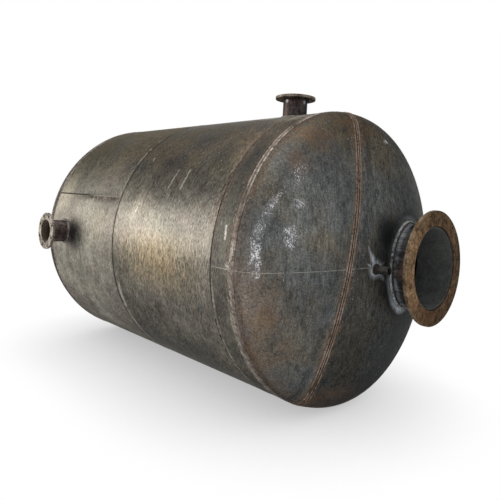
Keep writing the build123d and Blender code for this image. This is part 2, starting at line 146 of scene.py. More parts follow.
# Rubbed patches with bright specks on the ends, partly painted glints
RUBBED_GLINT_SPOTS = (
    ((1.318, -0.710, 0.165), (0.07, 0.055, 0.105), 1.0),
    ((1.318, -0.658, 0.325), (0.05, 0.050, 0.040), 0.8),
    ((1.304, 0.169, 0.746), (0.05, 0.045, 0.022), 1.0),
)
# Painted sheen: a lighter patch on the near side of each end
PAINTED_SHEEN = (((1.36, -0.60, 0.22), (0.30, 0.30, 0.42), 1.0),)
# Painted shadow on the front end above and left of the manhole neck
NECK_SHADOW_PATCH = (1.46, -0.035, 0.19), (0.10, 0.13, 0.14)
NECK_SORE = (1.557, NECK_Y - NECK_R, -0.04), (0.09, 0.10, 0.085)
# Two pale spots on the top nozzle pipe just below its flange
TOP_PIPE_PALE_SPOTS = (
    ((TOP_X, -TOP_R, 1.030), (0.018, 0.020, 0.022), 1.0),
    ((TOP_X + TOP_R, 0.0, 1.026), (0.020, 0.018, 0.024), 1.0),
)
SCORCHED_SPOT = (APEX_X + 0.14, NECK_Y - 0.09, -0.31), (0.2, 0.17, 0.085)
# Scuffs beside the seams: place along the tank, spread, heights of start and full, mottle, strength
SCUFFS = (
    (COURSE_SEAM + 0.030, 0.030, -0.16, -0.34, 0.34, 0.54, 1.1),
    (RING_SEAM + 0.012, 0.015, -0.02, -0.22, 0.32, 0.54, 0.6),
    (END_SEAM - 0.030, 0.016, -0.10, -0.24, 0.40, 0.56, 0.6),
)
# Scratches on the shell: start and end along the tank in metres and round it in degrees, half width
SCRATCHES = (
    ((0.420, 32.6), (0.402, 24.5), 0.010),
    ((0.535, 32.6), (0.532, 24.0), 0.012),
    ((0.146, 17.5), (0.126, 13.4), 0.008),
    ((1.038, 11.9), (1.046, 7.7), 0.013),
    ((0.030, 39.4), (0.044, 37.9), 0.011),
)
# Rays of heat tint round the stub: turn in degrees, reach, width
STUB_RAYS = (
    (119.0, 0.185, 0.046),
    (158.0, 0.110, 0.022),
    (-116.0, 0.085, 0.030),
    (24.0, 0.110, 0.044),
    (-36.0, 0.180, 0.044),
)
LEAST_TAPER = 0.0005
# Layout line: its slope across the tank and its height over the axis at the middle
CHALK_SLOPE, CHALK_LEVEL = 0.033, -0.0025
# Slow drift of the hue, from warm to cool
SHELL_DRIFT = (1.018, 0.994, 0.985, 1.0), (0.988, 1.006, 0.985, 1.0)
END_DRIFT = (1.08, 1.0, 0.89, 1.0), (0.95, 1.0, 1.05, 1.0)

STEEL_METAL = 0.75
STEEL_GLOSS = 0.4
STEEL_GLOSS_TINT = (0.16, 0.155, 0.145, 1.0)
LEAST_LEVEL = 0.2
INSIDE_FROM, INSIDE_FULL = 0.004, 0.006
TURNING_PITCH = 0.0042

# Weld beads: where a ripple is cut flat and its lean in degrees, and the gaps of beads from their corners
RIPPLE_CUT, RIPPLE_LEAN = -0.06, 14.0
STUB_GAP, NOZZLE_GAP, FLANGE_GAP = 0.0025, 0.004, 0.0028
# Distance between runs by their width, and a ripple's step and length by the common step
GIRTH_SPACING_SHARE, CHORD_SPACING_SHARE = 0.92, 1.12
STUB_STEP_SHARE, PIPE_STEP_SHARE = 0.7, 0.8
RIPPLE_LENGTH_SHARE, GIRTH_LENGTH_SHARE = 2.1, 3.4
# Runs round the neck: gap from the neck, height, shares of the ways out of the neck and the end, seed
NECK_RUNS = ((0.0030, 0.0085, 1.0, 1.0, 51), (0.0145, 0.0040, 0.25, 0.75, 52))
# Drops of spatter: how many, least distance from the seam, common distance beyond that
SHELL_DROPS, SHELL_CLEAR, SHELL_SCATTER = 260, 0.014, 0.022
END_DROPS, END_CLEAR, END_SCATTER = 220, 0.016, 0.020
EDGE_CLEAR = 0.01

# Studio and camera
FLOOR_SIZE, FLOOR_Z = 60.0, -0.002
ROOM_TINT, ROOM_STRENGTH = (0.95, 0.97, 1.0, 1.0), 0.42
# Lamps: name, place, target, width, height, watts, tint
LAMPS = (
    ("window_left", (-8.0, -6.2, 2.05), (0.0, -0.9, 1.0), 5.8, 3.9, 510.0, (1.0, 0.97, 0.92)),
    ("roof_light", (-0.4, -0.6, 5.2), (0.0, 0.0, 0.9), 6.0, 4.0, 120.0, (1.0, 0.98, 0.94)),
)
CAMERA_PLACE = (3.01802, -2.64345, 1.25385)
CAMERA_RIGHT = (0.69297, 0.71868, 0.05744)
CAMERA_UP = (-0.02703, -0.05372, 0.99819)
CAMERA_BACK = (0.72046, -0.69327, -0.0178)
CAMERA_LENS, CAMERA_SENSOR, CAMERA_SHIFT = 36.21, 36.0, -0.12
CAMERA_REACH = 200.0


# Sizes and colours


def shade(name, what, tint):
    return bpy.props.FloatVectorProperty(
        name=name, description=what, subtype="COLOR", size=4, min=0.0, max=1.0, default=(*tint, 1.0)
    )


def length(name, what, metres):
    return bpy.props.FloatProperty(
        name=name, description=what, default=metres, min=0.0, subtype="DISTANCE", unit="LENGTH"
    )


def angle(name, what, degrees):
    return bpy.props.FloatProperty(
        name=name, description=what, default=radians(degrees), subtype="ANGLE", unit="ROTATION"
    )


class TankSizes(bpy.types.PropertyGroup):
    """Sizes of the weld beads and marks."""

    girth_bead: length("Girth Bead", "Width of each of the three runs of the end girth welds", 0.0140)
    girth_rise: length("Girth Rise", "Height of the end girth beads over the plate", 0.0028)
    chord_bead: length("Chord Bead", "Width of each run of the weld across a dished end", 0.0140)
    chord_rise: length("Chord Rise", "Height of the weld across a dished end", 0.0040)
    neck_bead: length("Neck Bead", "Width of the weld round the manhole neck", 0.017)
    nozzle_bead: length("Nozzle Bead", "Width of the welds round the nozzle pipes", 0.011)
    stub_bead: length("Stub Bead", "Width of the weld round the pipe stub", 0.011)
    flange_bead: length("Flange Bead", "Width of the welds behind the flanges", 0.011)
    ripple_step: length("Ripple Step", "Distance from one weld ripple to the next", 0.0075)
    stub_rise: length("Stub Rise", "Height of the weld round the pipe stub", 0.0055)
    pipe_rise: length("Pipe Rise", "Height of the welds on the nozzle pipes and flanges", 0.0050)
    spatter_size: length("Spatter Size", "Width of the largest drops of weld spatter", 0.006)
    chord_offset: length("Chord Offset", "Distance of the chord weld from the axis at the end seam", 0.211)
    chord_lean: angle("Chord Lean", "Lean of the chord weld's plane along the tank", 22.9)
    chord_roll: angle("Chord Roll", "Roll of the chord weld's plane off upright", 9.9)
    chalk_width: length("Chalk Width", "Width of the layout line along the end", 0.0026)


class TankColours(bpy.types.PropertyGroup):
    """Colours of the steel, rust and marks."""

    scale_dark: shade("Dark Scale", "Darkest mill scale on the shell", (0.058, 0.054, 0.047))
    scale_grey: shade("Grey Scale", "Common mill scale on the shell", (0.102, 0.096, 0.085))
    scale_light: shade("Light Scale", "Worn, lighter mill scale", (0.190, 0.177, 0.152))
    end_dark: shade("End Dark", "Darkest scale of the pressed ends", (0.058, 0.059, 0.057))
    end_grey: shade("End Grey", "Common scale of the pressed ends", (0.101, 0.100, 0.093))
    end_light: shade("End Light", "Lightest scale of the pressed ends", (0.172, 0.167, 0.150))
    # Painted shade: darkens the wide end plate towards the bottom and +y, besides its slightly darker tone
    end_tone_and_painted_shade: shade("End Shade", "Darker scale of the wide end plate", (0.026, 0.027, 0.027))
    dust: shade("Dust", "Beige dust on the middle plate", (0.300, 0.226, 0.138))
    earth: shade("Earth Brown", "Olive-brown film on the upper shell", (0.094, 0.076, 0.047))
    rust: shade("Rust", "Old brown rust", (0.130, 0.096, 0.072))
    orange: shade("Orange Rust", "Fresh orange rust", (0.165, 0.088, 0.045))
    knuckle: shade("Knuckle Rust", "Rubbed rust on the rounded edge of the ends", (0.335, 0.275, 0.228))
    # Smoke also paints the shadow by the manhole neck
    smoke_and_shade: shade("Smoke", "Blue-black smudges", (0.030, 0.032, 0.035))
    # Painted shadow of the side nozzle on the shell
    nozzle_shadow: shade("Soot", "Soot round the side nozzle", (0.010, 0.010, 0.011))
    # Pale Scuff also paints sheen on the rear course
    pale: shade("Pale Scuff", "Pale scuffs and rubbed edges", (0.290, 0.265, 0.212))
    # Rubbed Scale and Bare Steel also paint sheen and glints on the ends
    rubbed: shade("Rubbed Scale", "Bluish rubbed scale under the bright specks", (0.200, 0.200, 0.215))
    bare: shade("Bare Steel", "Scratched bright steel", (0.860, 0.855, 0.880))
    heat: shade("Heat Tint", "Blue-white heat tint beside welds", (0.740, 0.800, 0.880))
    chalk: shade("Chalk", "Layout chalk and scratches", (0.480, 0.455, 0.400))
    inside: shade("Inside Dust", "Grey dust on the faces inside", (0.140, 0.147, 0.138))
    pipe_black: shade("Pipe Black", "Blue-black scale of the pipes", (0.020, 0.022, 0.026))
    pipe_grey: shade("Pipe Grey", "Common scale of the pipes", (0.050, 0.050, 0.052))
    pipe_rubbed: shade("Pipe Rubbed", "Rubbed pipe scale", (0.120, 0.112, 0.106))
    pipe_plum: shade("Pipe Plum", "Purple-brown tint on the pipes", (0.060, 0.028, 0.037))
    pipe_sore: shade("Pipe Sore", "Ground spot on the manhole neck", (0.135, 0.088, 0.072))
    flange_dark: shade("Flange Dark", "Dark pits in the flange rust", (0.050, 0.035, 0.022))
    flange_rust: shade("Flange Rust", "Rust film on the flanges", (0.128, 0.083, 0.047))
    flange_bright: shade("Flange Bright", "Brightest rust on the flanges", (0.215, 0.140, 0.080))
    flange_red: shade("Flange Red", "Redder rust on the flanges", (0.130, 0.060, 0.034))
    face_dark: shade("Side Face Dark", "Dark grain of the side flange", (0.080, 0.064, 0.054))
    face_grey: shade("Side Face Grey", "Common tone of the side flange", (0.250, 0.224, 0.196))
    face_light: shade("Side Face Light", "Lightest tone of the side flange", (0.410, 0.374, 0.330))
    bead_brown: shade("Bead Brown", "Rusty weld metal", (0.125, 0.088, 0.066))
    bead_umber: shade("Bead Umber", "Dull brown weld metal of the end seams", (0.112, 0.088, 0.072))
    bead_clay: shade("Bead Clay", "Lighter weld metal of the end seams", (0.195, 0.162, 0.137))
    bead_light: shade("Bead Light", "Light rust on weld ripples", (0.215, 0.158, 0.120))
    bead_rose: shade("Bead Rose", "Pinkish rust on the chord welds", (0.300, 0.215, 0.170))
    bead_pale: shade("Bead Pale", "Pale oxide on weld ripples", (0.450, 0.400, 0.360))
    bead_frost: shade("Bead Frost", "Pale grey oxide round the manhole neck", (0.520, 0.530, 0.530))
    bead_dark: shade("Bead Dark", "Slag in the toes of the welds", (0.045, 0.036, 0.030))
    bead_grey: shade("Bead Grey", "Grey weld metal round the neck", (0.070, 0.066, 0.064))
    seam_black: shade("Seam Black", "Darkest spots of the low seams", (0.018, 0.016, 0.014))
    seam_grey: shade("Seam Grey", "Common tone of the low seams", (0.038, 0.034, 0.029))
    floor: shade("Floor", "Studio floor", (0.86, 0.86, 0.86))


def sizes():
    return bpy.context.scene.tank_sizes


def tints():
    return bpy.context.scene.tank_colours


# Node work


class Field:
    """A number that a finish works out at each place: what one node puts out."""

    def __init__(self, desk, socket):
        self.desk = desk
        self.socket = socket

    def __add__(self, other):
        return self.desk.maths("ADD", self, other)

    def __sub__(self, other):
        return self.desk.maths("SUBTRACT", self, other)

    def __rsub__(self, other):
        return self.desk.maths("SUBTRACT", other, self)

    def __mul__(self, other):
        return self.desk.maths("MULTIPLY", self, other)

    def __or__(self, other):
        """The larger of the two."""
        return self.desk.maths("MAXIMUM", self, other)

    def __abs__(self):
        return self.desk.maths("ABSOLUTE", self)

    __radd__ = __add__
    __rmul__ = __mul__

    def ease(self, low, high):
        """Zero at low, one at high and smooth between them."""
        inputs = {"Value": self, "From Min": low, "From Max": high}
        node = self.desk.node("ShaderNodeMapRange", inputs, interpolation_type="SMOOTHSTEP")
        return Field(self.desk, node.outputs["Result"])

    def near(self, centre, spread):
        """One at the centre, zero from the spread outwards."""
        return abs(self - centre).ease(spread, 0.0)


def most(fields):
    """The largest of several fields at each place."""
    return reduce(or_, fields)


class NodeDesk:
    """Node work for a material or a world."""

    def __init__(self, owner):
        owner.use_nodes = True
        self.tree = owner.node_tree
        self.tree.nodes.clear()

    def node(self, kind, inputs=None, **settings):
        """Adds a node, sets it up and feeds its inputs, which are given by name or number."""
        node = self.tree.nodes.new(kind)
        for name, value in settings.items():
            setattr(node, name, value)
        for key, value in (inputs or {}).items():
            self.feed(node.inputs[key], value)
        return node

    def feed(self, socket, value):
        value = value.socket if isinstance(value, Field) else value
        if isinstance(value, bpy.types.NodeSocket):
            self.tree.links.new(value, socket)
        else:
            socket.default_value = value

    def maths(self, operation, first, second=0.0, clamp=False):
        node = self.node("ShaderNodeMath", {0: first, 1: second}, operation=operation, use_clamp=clamp)
        return Field(self, node.outputs[0])

    def split(self, output, lit, seen):
        """Lights the part with one shader and shows the other to the camera, and in gloss or glass."""
        path = self.node("ShaderNodeLightPath").outputs
        rays = ("Is Camera Ray", "Is Glossy Ray", "Is Transmission Ray")
        shown = most(Field(self, path[ray]) for ray in rays)
        blend = self.node("ShaderNodeMixShader", {0: shown, 1: lit.outputs[0], 2: seen.outputs[0]})
        self.node(output, {"Surface": blend.outputs[0]})


class FinishDesk(NodeDesk):
    """Node work for one finish, whose colour is built up coat by coat."""

    def __init__(self, name):
        self.finish = bpy.data.materials.new(name)
        super().__init__(self.finish)
        self.skin = None
        self.place = self.node("ShaderNodeTexCoord").outputs["Object"]
        parts = self.node("ShaderNodeSeparateXYZ", {0: self.place}).outputs
        self.x, self.y, self.z = (Field(self, part) for part in parts)
        self.height = self.z - AXIS_Z
        self.reach = abs(self.x)
        self.turn = self.maths("ARCTAN2", self.height, self.y * -1.0)
        self.out = self.apart((0.0, 0.0, AXIS_Z), 0)

    def vector(self, operation, first, second=(0.0, 0.0, 0.0)):
        node = self.node("ShaderNodeVectorMath", {0: first, 1: second}, operation=operation)
        if operation in ("LENGTH", "DOT_PRODUCT", "DISTANCE"):
            return Field(self, node.outputs["Value"])
        return node.outputs["Vector"]

    def scaled(self, vector, level):
        node = self.node("ShaderNodeVectorMath", {0: vector, "Scale": level}, operation="SCALE")
        return node.outputs["Vector"]

    def point(self, *parts):
        return self.node("ShaderNodeCombineXYZ", dict(enumerate(parts))).outputs[0]

    def noise(self, scale, detail, roughness, at=None):
        """Cloudy noise. A tuple stretches it along the axes, a socket says where it is read."""
        if at is None:
            at = self.place
        elif isinstance(at, tuple):
            at = self.vector("MULTIPLY", self.place, at)
        inputs = {"Vector": at, "Scale": scale, "Detail": detail, "Roughness": roughness}
        return Field(self, self.node("ShaderNodeTexNoise", inputs).outputs[0])

    def aside(self, centre, axis):
        """The way from an axis through a centre to each place, square to that axis."""
        flat = tuple(0.0 if i == axis else 1.0 for i in range(3))
        return self.vector("MULTIPLY", self.vector("SUBTRACT", self.place, tuple(centre)), flat)

    def apart(self, centre, axis):
        return self.vector("LENGTH", self.aside(centre, axis))

    def patch(self, centre, spread):
        """One at a centre along the tank, across it and over its axis, zero from the spread outwards."""
        x, y, height = centre
        away = self.vector("SUBTRACT", self.place, (x, y, AXIS_Z + height))
        return self.vector("LENGTH", self.vector("DIVIDE", away, spread)).ease(1.0, 0.15)

    def patches(self, rows, end=1.0):
        """Several patches by their strengths. End is -1 for their mirror image on the rear end."""
        return most(
            self.patch((end * x, y, height), spread) * strength
            for (x, y, height), spread, strength in rows
        )

    def mix(self, factor, first, second):
        return self.node("ShaderNodeMix", {0: factor, 6: first, 7: second}, data_type="RGBA").outputs[2]

    def ramp(self, factor, *stops):
        """Starts the skin with colours along a field."""
        node = self.node("ShaderNodeValToRGB", {0: factor})
        elements = node.color_ramp.elements
        while len(elements) < len(stops):
            elements.new(0.5)
        for element, (position, tint) in zip(elements, stops):
            element.position = position
            element.color = tint
        self.skin = node.outputs[0]

    def coat(self, where, tint):
        self.skin = self.mix(where, self.skin, tint)

    def lighten(self, level):
        self.skin = self.scaled(self.skin, level)

    def grained(self, tint, *layers):
        """A colour lightened and darkened by noises, each with its strength."""
        level = 1.0
        for strength, noise in layers:
            level = (noise - 0.5) * strength + level
        return self.scaled(tint, level | LEAST_LEVEL)

    def grain(self, *layers):
        self.skin = self.grained(self.skin, *layers)

    def drift(self, where, warm, cool):
        self.skin = self.vector("MULTIPLY", self.skin, self.mix(where, warm, cool))

    def close(self, rough, relief, depth, strength, inner=None, lining=None):
        """Wires the steel up. Where inner is one, the face is inside the tank and dull, with grey dust
        unless a lining is given.
        """
        metal = STEEL_METAL
        if inner is not None:
            coarse, fine = self.noise(7.0, 5.0, 0.68), self.noise(60.0, 3.0, 0.65)
            self.coat(inner, self.grained(lining or tuple(tints().inside)[:3], (2.0, coarse), (1.4, fine)))
            rough = rough | inner * 0.8
            metal = (1.0 - inner) * metal
        bump = self.node("ShaderNodeBump", {"Strength": strength, "Distance": depth, "Height": relief})
        steel = self.node("ShaderNodeBsdfPrincipled", {
            "Base Color": self.skin,
            "Roughness": rough,
            "Metallic": metal,
            "Specular IOR Level": STEEL_GLOSS,
            "Specular Tint": STEEL_GLOSS_TINT,
            "Normal": bump.outputs["Normal"],
        })
        self.node("ShaderNodeOutputMaterial", {"Surface": steel.outputs["BSDF"]})
        return self.finish


# Finishes


def chord_normal():
    """The way square to the plane of the front end's chord weld."""
    lean, roll = sizes().chord_lean, sizes().chord_roll
    return Vector((math.sin(lean) * math.cos(roll), math.cos(lean) * math.cos(roll), -math.sin(roll)))


def shell_inside(desk):
    return desk.out.ease(SHELL_R - INSIDE_FROM, SHELL_R - INSIDE_FULL)


def scratch_mark(desk, start, end, width):
    """A short scratch on the shell."""
    first, last = (Vector((x, radians(turn) * SHELL_R, 0.0)) for x, turn in (start, end))
    run = last - first
    away = desk.vector("SUBTRACT", desk.point(desk.x, desk.turn * SHELL_R), first)
    ahead = desk.vector("DOT_PRODUCT", away, run)
    share = desk.maths("MULTIPLY", ahead, 1.0 / run.length_squared, clamp=True)
    gap = desk.vector("LENGTH", desk.vector("SUBTRACT", away, desk.scaled(run, share)))
    return gap.ease(width, width * 0.1)


def chalk_line(desk):
    """The layout line along the near side of the front end, level with the pipe stub."""
    spread = sizes().chalk_width
    line = abs(desk.height - (desk.y * CHALK_SLOPE + CHALK_LEVEL)).ease(spread, spread * 0.2)
    broken = desk.noise(16.0, 3.0, 0.6).ease(0.28, 0.56)
    return line * desk.y.ease(-0.15, -0.17) * desk.x.ease(0.93, 1.02) * broken * 0.62


def stub_ray(desk, degrees, reach, width):
    """A tapering ray of heat tint on the front end, out from the foot of the stub."""
    y, z = math.cos(radians(degrees)), math.sin(radians(degrees))
    away = desk.vector("SUBTRACT", desk.place, (0.0, STUB_Y, STUB_Z))
    along = desk.vector("DOT_PRODUCT", away, (0.0, y, z)) * (1.0 / reach)
    across = abs(desk.vector("DOT_PRODUCT", away, (0.0, -z, y)))
    taper = (1.0 - along) * width | LEAST_TAPER
    return across.ease(taper, 0.0) * along.ease(-0.02, 0.05) * along.ease(1.0, 0.35)


def shell_finish(name, lift=1.0, dull=0.0, contrast=0.6, ring=False):
    """Rolled shell plate: mill scale with streaks round the tank, dust, brown film, painted sheen, a
    painted shadow beside the side nozzle, and scratches.
    """
    c, desk = tints(), FinishDesk(name)
    x, height = desk.x, desk.height
    broad = desk.noise(1.3, 4.0, 0.6)
    cloud = desk.noise(5.2, 5.0, 0.62)
    mottle = desk.noise(17.0, 5.0, 0.68)
    streak = desk.noise(1.0, 4.0, 0.64, (96.0, 25.0, 25.0))
    wide_streak = desk.noise(1.0, 3.0, 0.55, (15.0, 2.0, 2.0))
    grit = desk.noise(88.0, 4.0, 0.72)
    grain = desk.noise(1.0, 2.0, 0.6, (190.0, 52.0, 52.0))
    near_side = desk.y.ease(-0.1, -0.45)

    tone = 0.34 * broad + 0.28 * cloud + 0.24 * streak + 0.14 * wide_streak
    desk.ramp(tone, (0.34, c.scale_dark), (0.49, c.scale_grey), (0.66, c.scale_light))
    # Scales the lower part by lift: lighter below the middle for a lift over one, darker for one under
    desk.lighten(height.ease(0.62, 0.15) * (lift - 1.0) + 1.0)
    # Painted sheen on the rear course, a little less rough there
    painted_shine = desk.patches(PAINTED_SHINE) * streak.ease(0.30, 0.56)
    desk.coat(painted_shine * 0.6, c.pale)
    desk.coat(height.ease(0.20, 0.80) * cloud.ease(0.30, 0.56) * 0.85, c.earth)
    dust = height.near(-0.09, 0.26) * x.near(0.42, 0.62) * near_side * streak.ease(0.26, 0.62)
    desk.coat(dust * 0.85, c.dust)
    desk.coat(desk.patches(SMUDGES) * streak.ease(0.34, 0.58) * 0.62, c.smoke_and_shade)

    ring_rust = x.near(RING_SEAM - 0.012, 0.085) * height.ease(0.06, 0.32) * streak.ease(0.32, 0.58)
    desk.coat(ring_rust * 0.75, desk.mix(grit.ease(0.36, 0.66), c.bead_brown, c.bead_clay))
    end_rust = x.near(END_SEAM, 0.070) * mottle.ease(0.38, 0.60) * 0.75
    rust = end_rust | desk.noise(8.5, 5.0, 0.7).ease(0.60, 0.72) * 0.5
    desk.coat(rust, desk.mix(grit.ease(0.46, 0.66), c.rust, c.orange))
    stain = desk.turn.near(LONG_TURN - 0.016, 0.052) * x.ease(COURSE_SEAM, COURSE_SEAM - 0.03)
    desk.coat(stain * x.ease(-0.82, -0.56) * mottle.ease(0.36, 0.52) * 0.8, c.bead_dark)
    desk.coat(x.near(COURSE_SEAM, 0.030) * grit.ease(0.32, 0.58) * 0.75, c.scale_dark)
    flaked = x.near(COURSE_SEAM - 0.020, 0.022) * height.ease(0.10, 0.35) * mottle.ease(0.48, 0.60)
    desk.coat(flaked * 0.6, c.pale)

    foot = desk.apart((TOP_X, 0.0, 0.0), 2) - TOP_R
    ground = foot.ease(0.085, 0.035) * height.ease(0.5, 0.7) * mottle.ease(0.36, 0.56)
    desk.coat((ground | desk.patch(*GROUND_SPOT) * grit.ease(0.36, 0.54)) * 0.75, c.chalk)
    scuffs = most(
        x.near(seam, spread) * height.ease(start, full) * near_side * mottle.ease(low, high) * strength
        for seam, spread, start, full, low, high, strength in SCUFFS
    )
    desk.coat(scuffs * 0.75, c.chalk)
    # Painted shadow of the side nozzle on the shell, rougher there
    nozzle_shadow = desk.patch(*SIDE_NOZZLE_SHADOW) * mottle.ease(0.22, 0.50) * 0.86
    desk.coat(nozzle_shadow, c.nozzle_shadow)

    desk.grain((1.3, grit), (0.8, mottle), (contrast, streak), (2.4, grain))
    desk.drift(desk.noise(2.4, 4.0, 0.62).ease(0.40, 0.60), *SHELL_DRIFT)
    marks = most(scratch_mark(desk, *scratch) for scratch in SCRATCHES)
    flecks = desk.noise(1.0, 2.0, 0.5, (120.0, 24.0, 24.0)).ease(0.66, 0.76) * 0.8
    desk.coat((marks | flecks) * grit.ease(0.36, 0.56) * 0.75, c.chalk)
    if ring:
        # Mottled, darker upper part of the ring's near side
        smoke_and_shade = near_side * height.ease(0.15, 0.55) * cloud.ease(0.38, 0.58) * mottle.ease(0.28, 0.56)
        desk.coat(smoke_and_shade * 0.5, c.smoke_and_shade)
        desk.coat(desk.patches(SPLASHES) * grit.ease(0.44, 0.58) * 0.85, c.chalk)
        desk.coat(chalk_line(desk), c.chalk)
    desk.coat(desk.patch(*SPATTERED_SPOT) * grit.ease(0.38, 0.56) * 0.55, c.chalk)

    rough = (0.22 + 0.16 * contrast) * streak + 0.22 * cloud + 0.22 * grit
    rough = rough + (0.20 * rust + 0.40 * nozzle_shadow) - painted_shine * 0.08 + (dull + 0.04 - 0.08 * contrast)
    relief = 0.5 * streak + 0.45 * grit + 0.9 * grain + 0.9 * wide_streak + 0.6 * cloud
    return desk.close(rough, relief, 0.0013, 0.42, shell_inside(desk))


def head_inside(desk):
    """One on the faces of a dished end that lie inside the tank."""
    from_crown = desk.vector("SUBTRACT", desk.point(desk.reach, desk.y, desk.height), (CROWN_X, 0.0, 0.0))
    from_knuckle = desk.vector("SUBTRACT", desk.point(desk.reach, desk.out), (KNUCKLE_X, KNUCKLE_RING, 0.0))
    crown = desk.out.ease(BLEND_R, BLEND_R - 0.001) * (CROWN_R - desk.vector("LENGTH", from_crown))
    knuckle = desk.out.ease(BLEND_R - 0.001, BLEND_R) * (KNUCKLE_R - desk.vector("LENGTH", from_knuckle))
    return (crown | knuckle).ease(INSIDE_FROM, INSIDE_FULL)


def head_finish(name, main=False, front=False):
    """Pressed end plate: grey scale, rust along its welds, bright rubbed specks that are partly painted
    glints, painted sheen and shade, and heat tint.
    """
    c, desk = tints(), FinishDesk(name)
    end = 1.0 if front else -1.0
    y, height, out, turn = desk.y, desk.height, desk.out, desk.turn
    broad = desk.noise(1.5, 4.0, 0.6)
    cloud = desk.noise(5.6, 5.0, 0.64)
    mottle = desk.noise(18.0, 5.0, 0.68)
    streak = desk.noise(1.0, 4.0, 0.66, (40.0, 40.0, 9.0))
    grit = desk.noise(88.0, 4.0, 0.72)
    scratch = desk.noise(1.0, 3.0, 0.62, (95.0, 95.0, 15.0))
    grain = desk.noise(1.0, 2.0, 0.6, (250.0, 250.0, 130.0))

    tone = 0.36 * broad + 0.24 * cloud + 0.22 * streak + 0.18 * mottle
    desk.ramp(tone, (0.36, c.end_dark), (0.50, c.end_grey), (0.65, c.end_light))
    # Painted shade on the wide plate: darker towards the bottom and towards +y, over a slightly darker tone
    # all over
    if main:
        desk.coat(height.ease(0.15, -0.50) * 0.58 + 0.10, c.end_tone_and_painted_shade)
        desk.coat(y.ease(0.05, 0.60) * height.ease(0.05, -0.45) * 0.75, c.end_tone_and_painted_shade)
    desk.coat(height.ease(0.42, 0.88) * mottle.ease(0.34, 0.60) * 0.7, c.earth)
    scratched, coarse = (2.0, 2.6) if main else (1.1, 1.4)
    desk.grain((1.2, grit), (0.7, mottle), (0.6, streak), (scratched, scratch), (coarse, grain))

    ragged = desk.reach + (desk.noise(7.0, 5.0, 0.68) - 0.5) * 0.17
    lower = height.ease(0.25, -0.08) * 0.66 + 0.14
    band = ragged.ease(END_SEAM + 0.17, END_SEAM + 0.06) * mottle.ease(0.10, 0.54) * lower
    desk.coat(band, desk.mix(grit.ease(0.22, 0.74), c.bead_brown, c.bead_clay))
    tongue = y.ease(0.05, -0.35) * height.near(-0.18, 0.30) * ragged.ease(END_SEAM + 0.24, END_SEAM + 0.12)
    desk.coat(tongue * mottle.ease(0.14, 0.58) * 0.72, desk.mix(grit.ease(0.22, 0.74), c.rust, c.knuckle))
    toe = desk.reach.near(END_SEAM + 0.040, 0.036) * cloud.ease(0.28, 0.50) * mottle.ease(0.26, 0.54)
    desk.coat(toe * 0.75, desk.mix(grit.ease(0.36, 0.62), c.bead_dark, c.bead_brown))
    fresh = desk.patches(FRESH_RUST, end) * mottle.ease(0.28, 0.62) * 0.75
    desk.coat(fresh, desk.mix(grit.ease(0.40, 0.62), c.rust, c.orange))

    normal = chord_normal()
    normal.x *= end
    foot = Vector((end * END_SEAM, -sizes().chord_offset, AXIS_Z))
    chord = abs(desk.vector("DOT_PRODUCT", desk.vector("SUBTRACT", desk.place, foot), normal))
    desk.coat(chord.ease(0.060, 0.014) * mottle.ease(0.36, 0.60) * 0.7, c.rust)
    desk.coat(chord.near(0.085, 0.05) * cloud.ease(0.40, 0.60) * 0.55, c.smoke_and_shade)
    # Painted sheen on the near side of the end; darker towards the top
    desk.lighten(0.45 * desk.patches(PAINTED_SHEEN, end) + -0.15 * height.ease(0.50, 0.85) + 1.0)
    desk.drift(desk.noise(2.6, 4.0, 0.6).ease(0.42, 0.60), *END_DRIFT)
    desk.grain((0.9, grit), (0.9, grain), (0.5, scratch))

    # Rubbed scale with bright specks along the knuckle, in a wisp and on a few spots: partly scratched
    # steel, partly painted sheen and glints
    wandering = out + turn.ease(radians(10), radians(42)) * 0.075 + (desk.noise(9.0, 3.0, 0.6) - 0.5) * 0.05
    arc = wandering.near(0.871, 0.030) * turn.ease(radians(-9), radians(2))
    arc = arc * turn.ease(radians(44), radians(6))
    wisp = out.near(0.800, 0.075) * turn.near(radians(38), radians(12)) * 0.35
    rubbed = arc | wisp | desk.patches(RUBBED_GLINT_SPOTS, end)
    desk.coat(rubbed * 0.30, c.rubbed)
    lines = desk.noise(1.0, 3.0, 0.66, (190.0, 190.0, 120.0))
    specks = (lines + rubbed * 0.14).ease(0.60, 0.65) * rubbed.ease(0.05, 0.4)
    loose = desk.noise(80.0, 2.0, 0.5).ease(0.70, 0.76) * cloud.ease(0.48, 0.62) * 0.35
    bright = specks * mottle.ease(0.38, 0.56) * cloud.ease(0.30, 0.52) | loose
    desk.coat(bright, c.bare)

    if front:
        from_stub = desk.apart((0.0, STUB_Y, STUB_Z), 0)
        star = from_stub.ease(0.072, STUB_R) | most(stub_ray(desk, *ray) for ray in STUB_RAYS)
        desk.coat(star * scratch.ease(0.30, 0.54) * 0.95, c.heat)
        desk.coat(from_stub.ease(STUB_R + 0.030, STUB_R + 0.006) * grit.ease(0.46, 0.60), c.bare)
        off = desk.apart((0.0, NECK_Y, NECK_Z), 0) - NECK_R
        # Painted shadow above and left of the neck, and a darker ring round the neck's foot
        neck_shadow = desk.patch(*NECK_SHADOW_PATCH) * mottle.ease(0.26, 0.46) * 0.9
        desk.coat(neck_shadow | off.near(0.060, 0.055) * cloud.ease(0.35, 0.6) * 0.55, c.smoke_and_shade)
        low_side = height.ease(0.0, -0.12) * y.ease(NECK_Y + 0.05, NECK_Y - 0.10) | 0.14
        halo = off.near(0.034, 0.034) * mottle.ease(0.30, 0.50) * scratch.ease(0.26, 0.50) * low_side
        desk.coat(halo * 0.8, c.heat)
        desk.coat(chalk_line(desk), c.chalk)

    rough = 0.26 * streak + 0.26 * cloud + 0.18 * grit + 0.14 - bright * 0.18
    relief = 0.5 * streak + 0.6 * grit + 0.9 * cloud + 0.7 * bright
    return desk.close(rough, relief, 0.0018, 0.5, head_inside(desk))


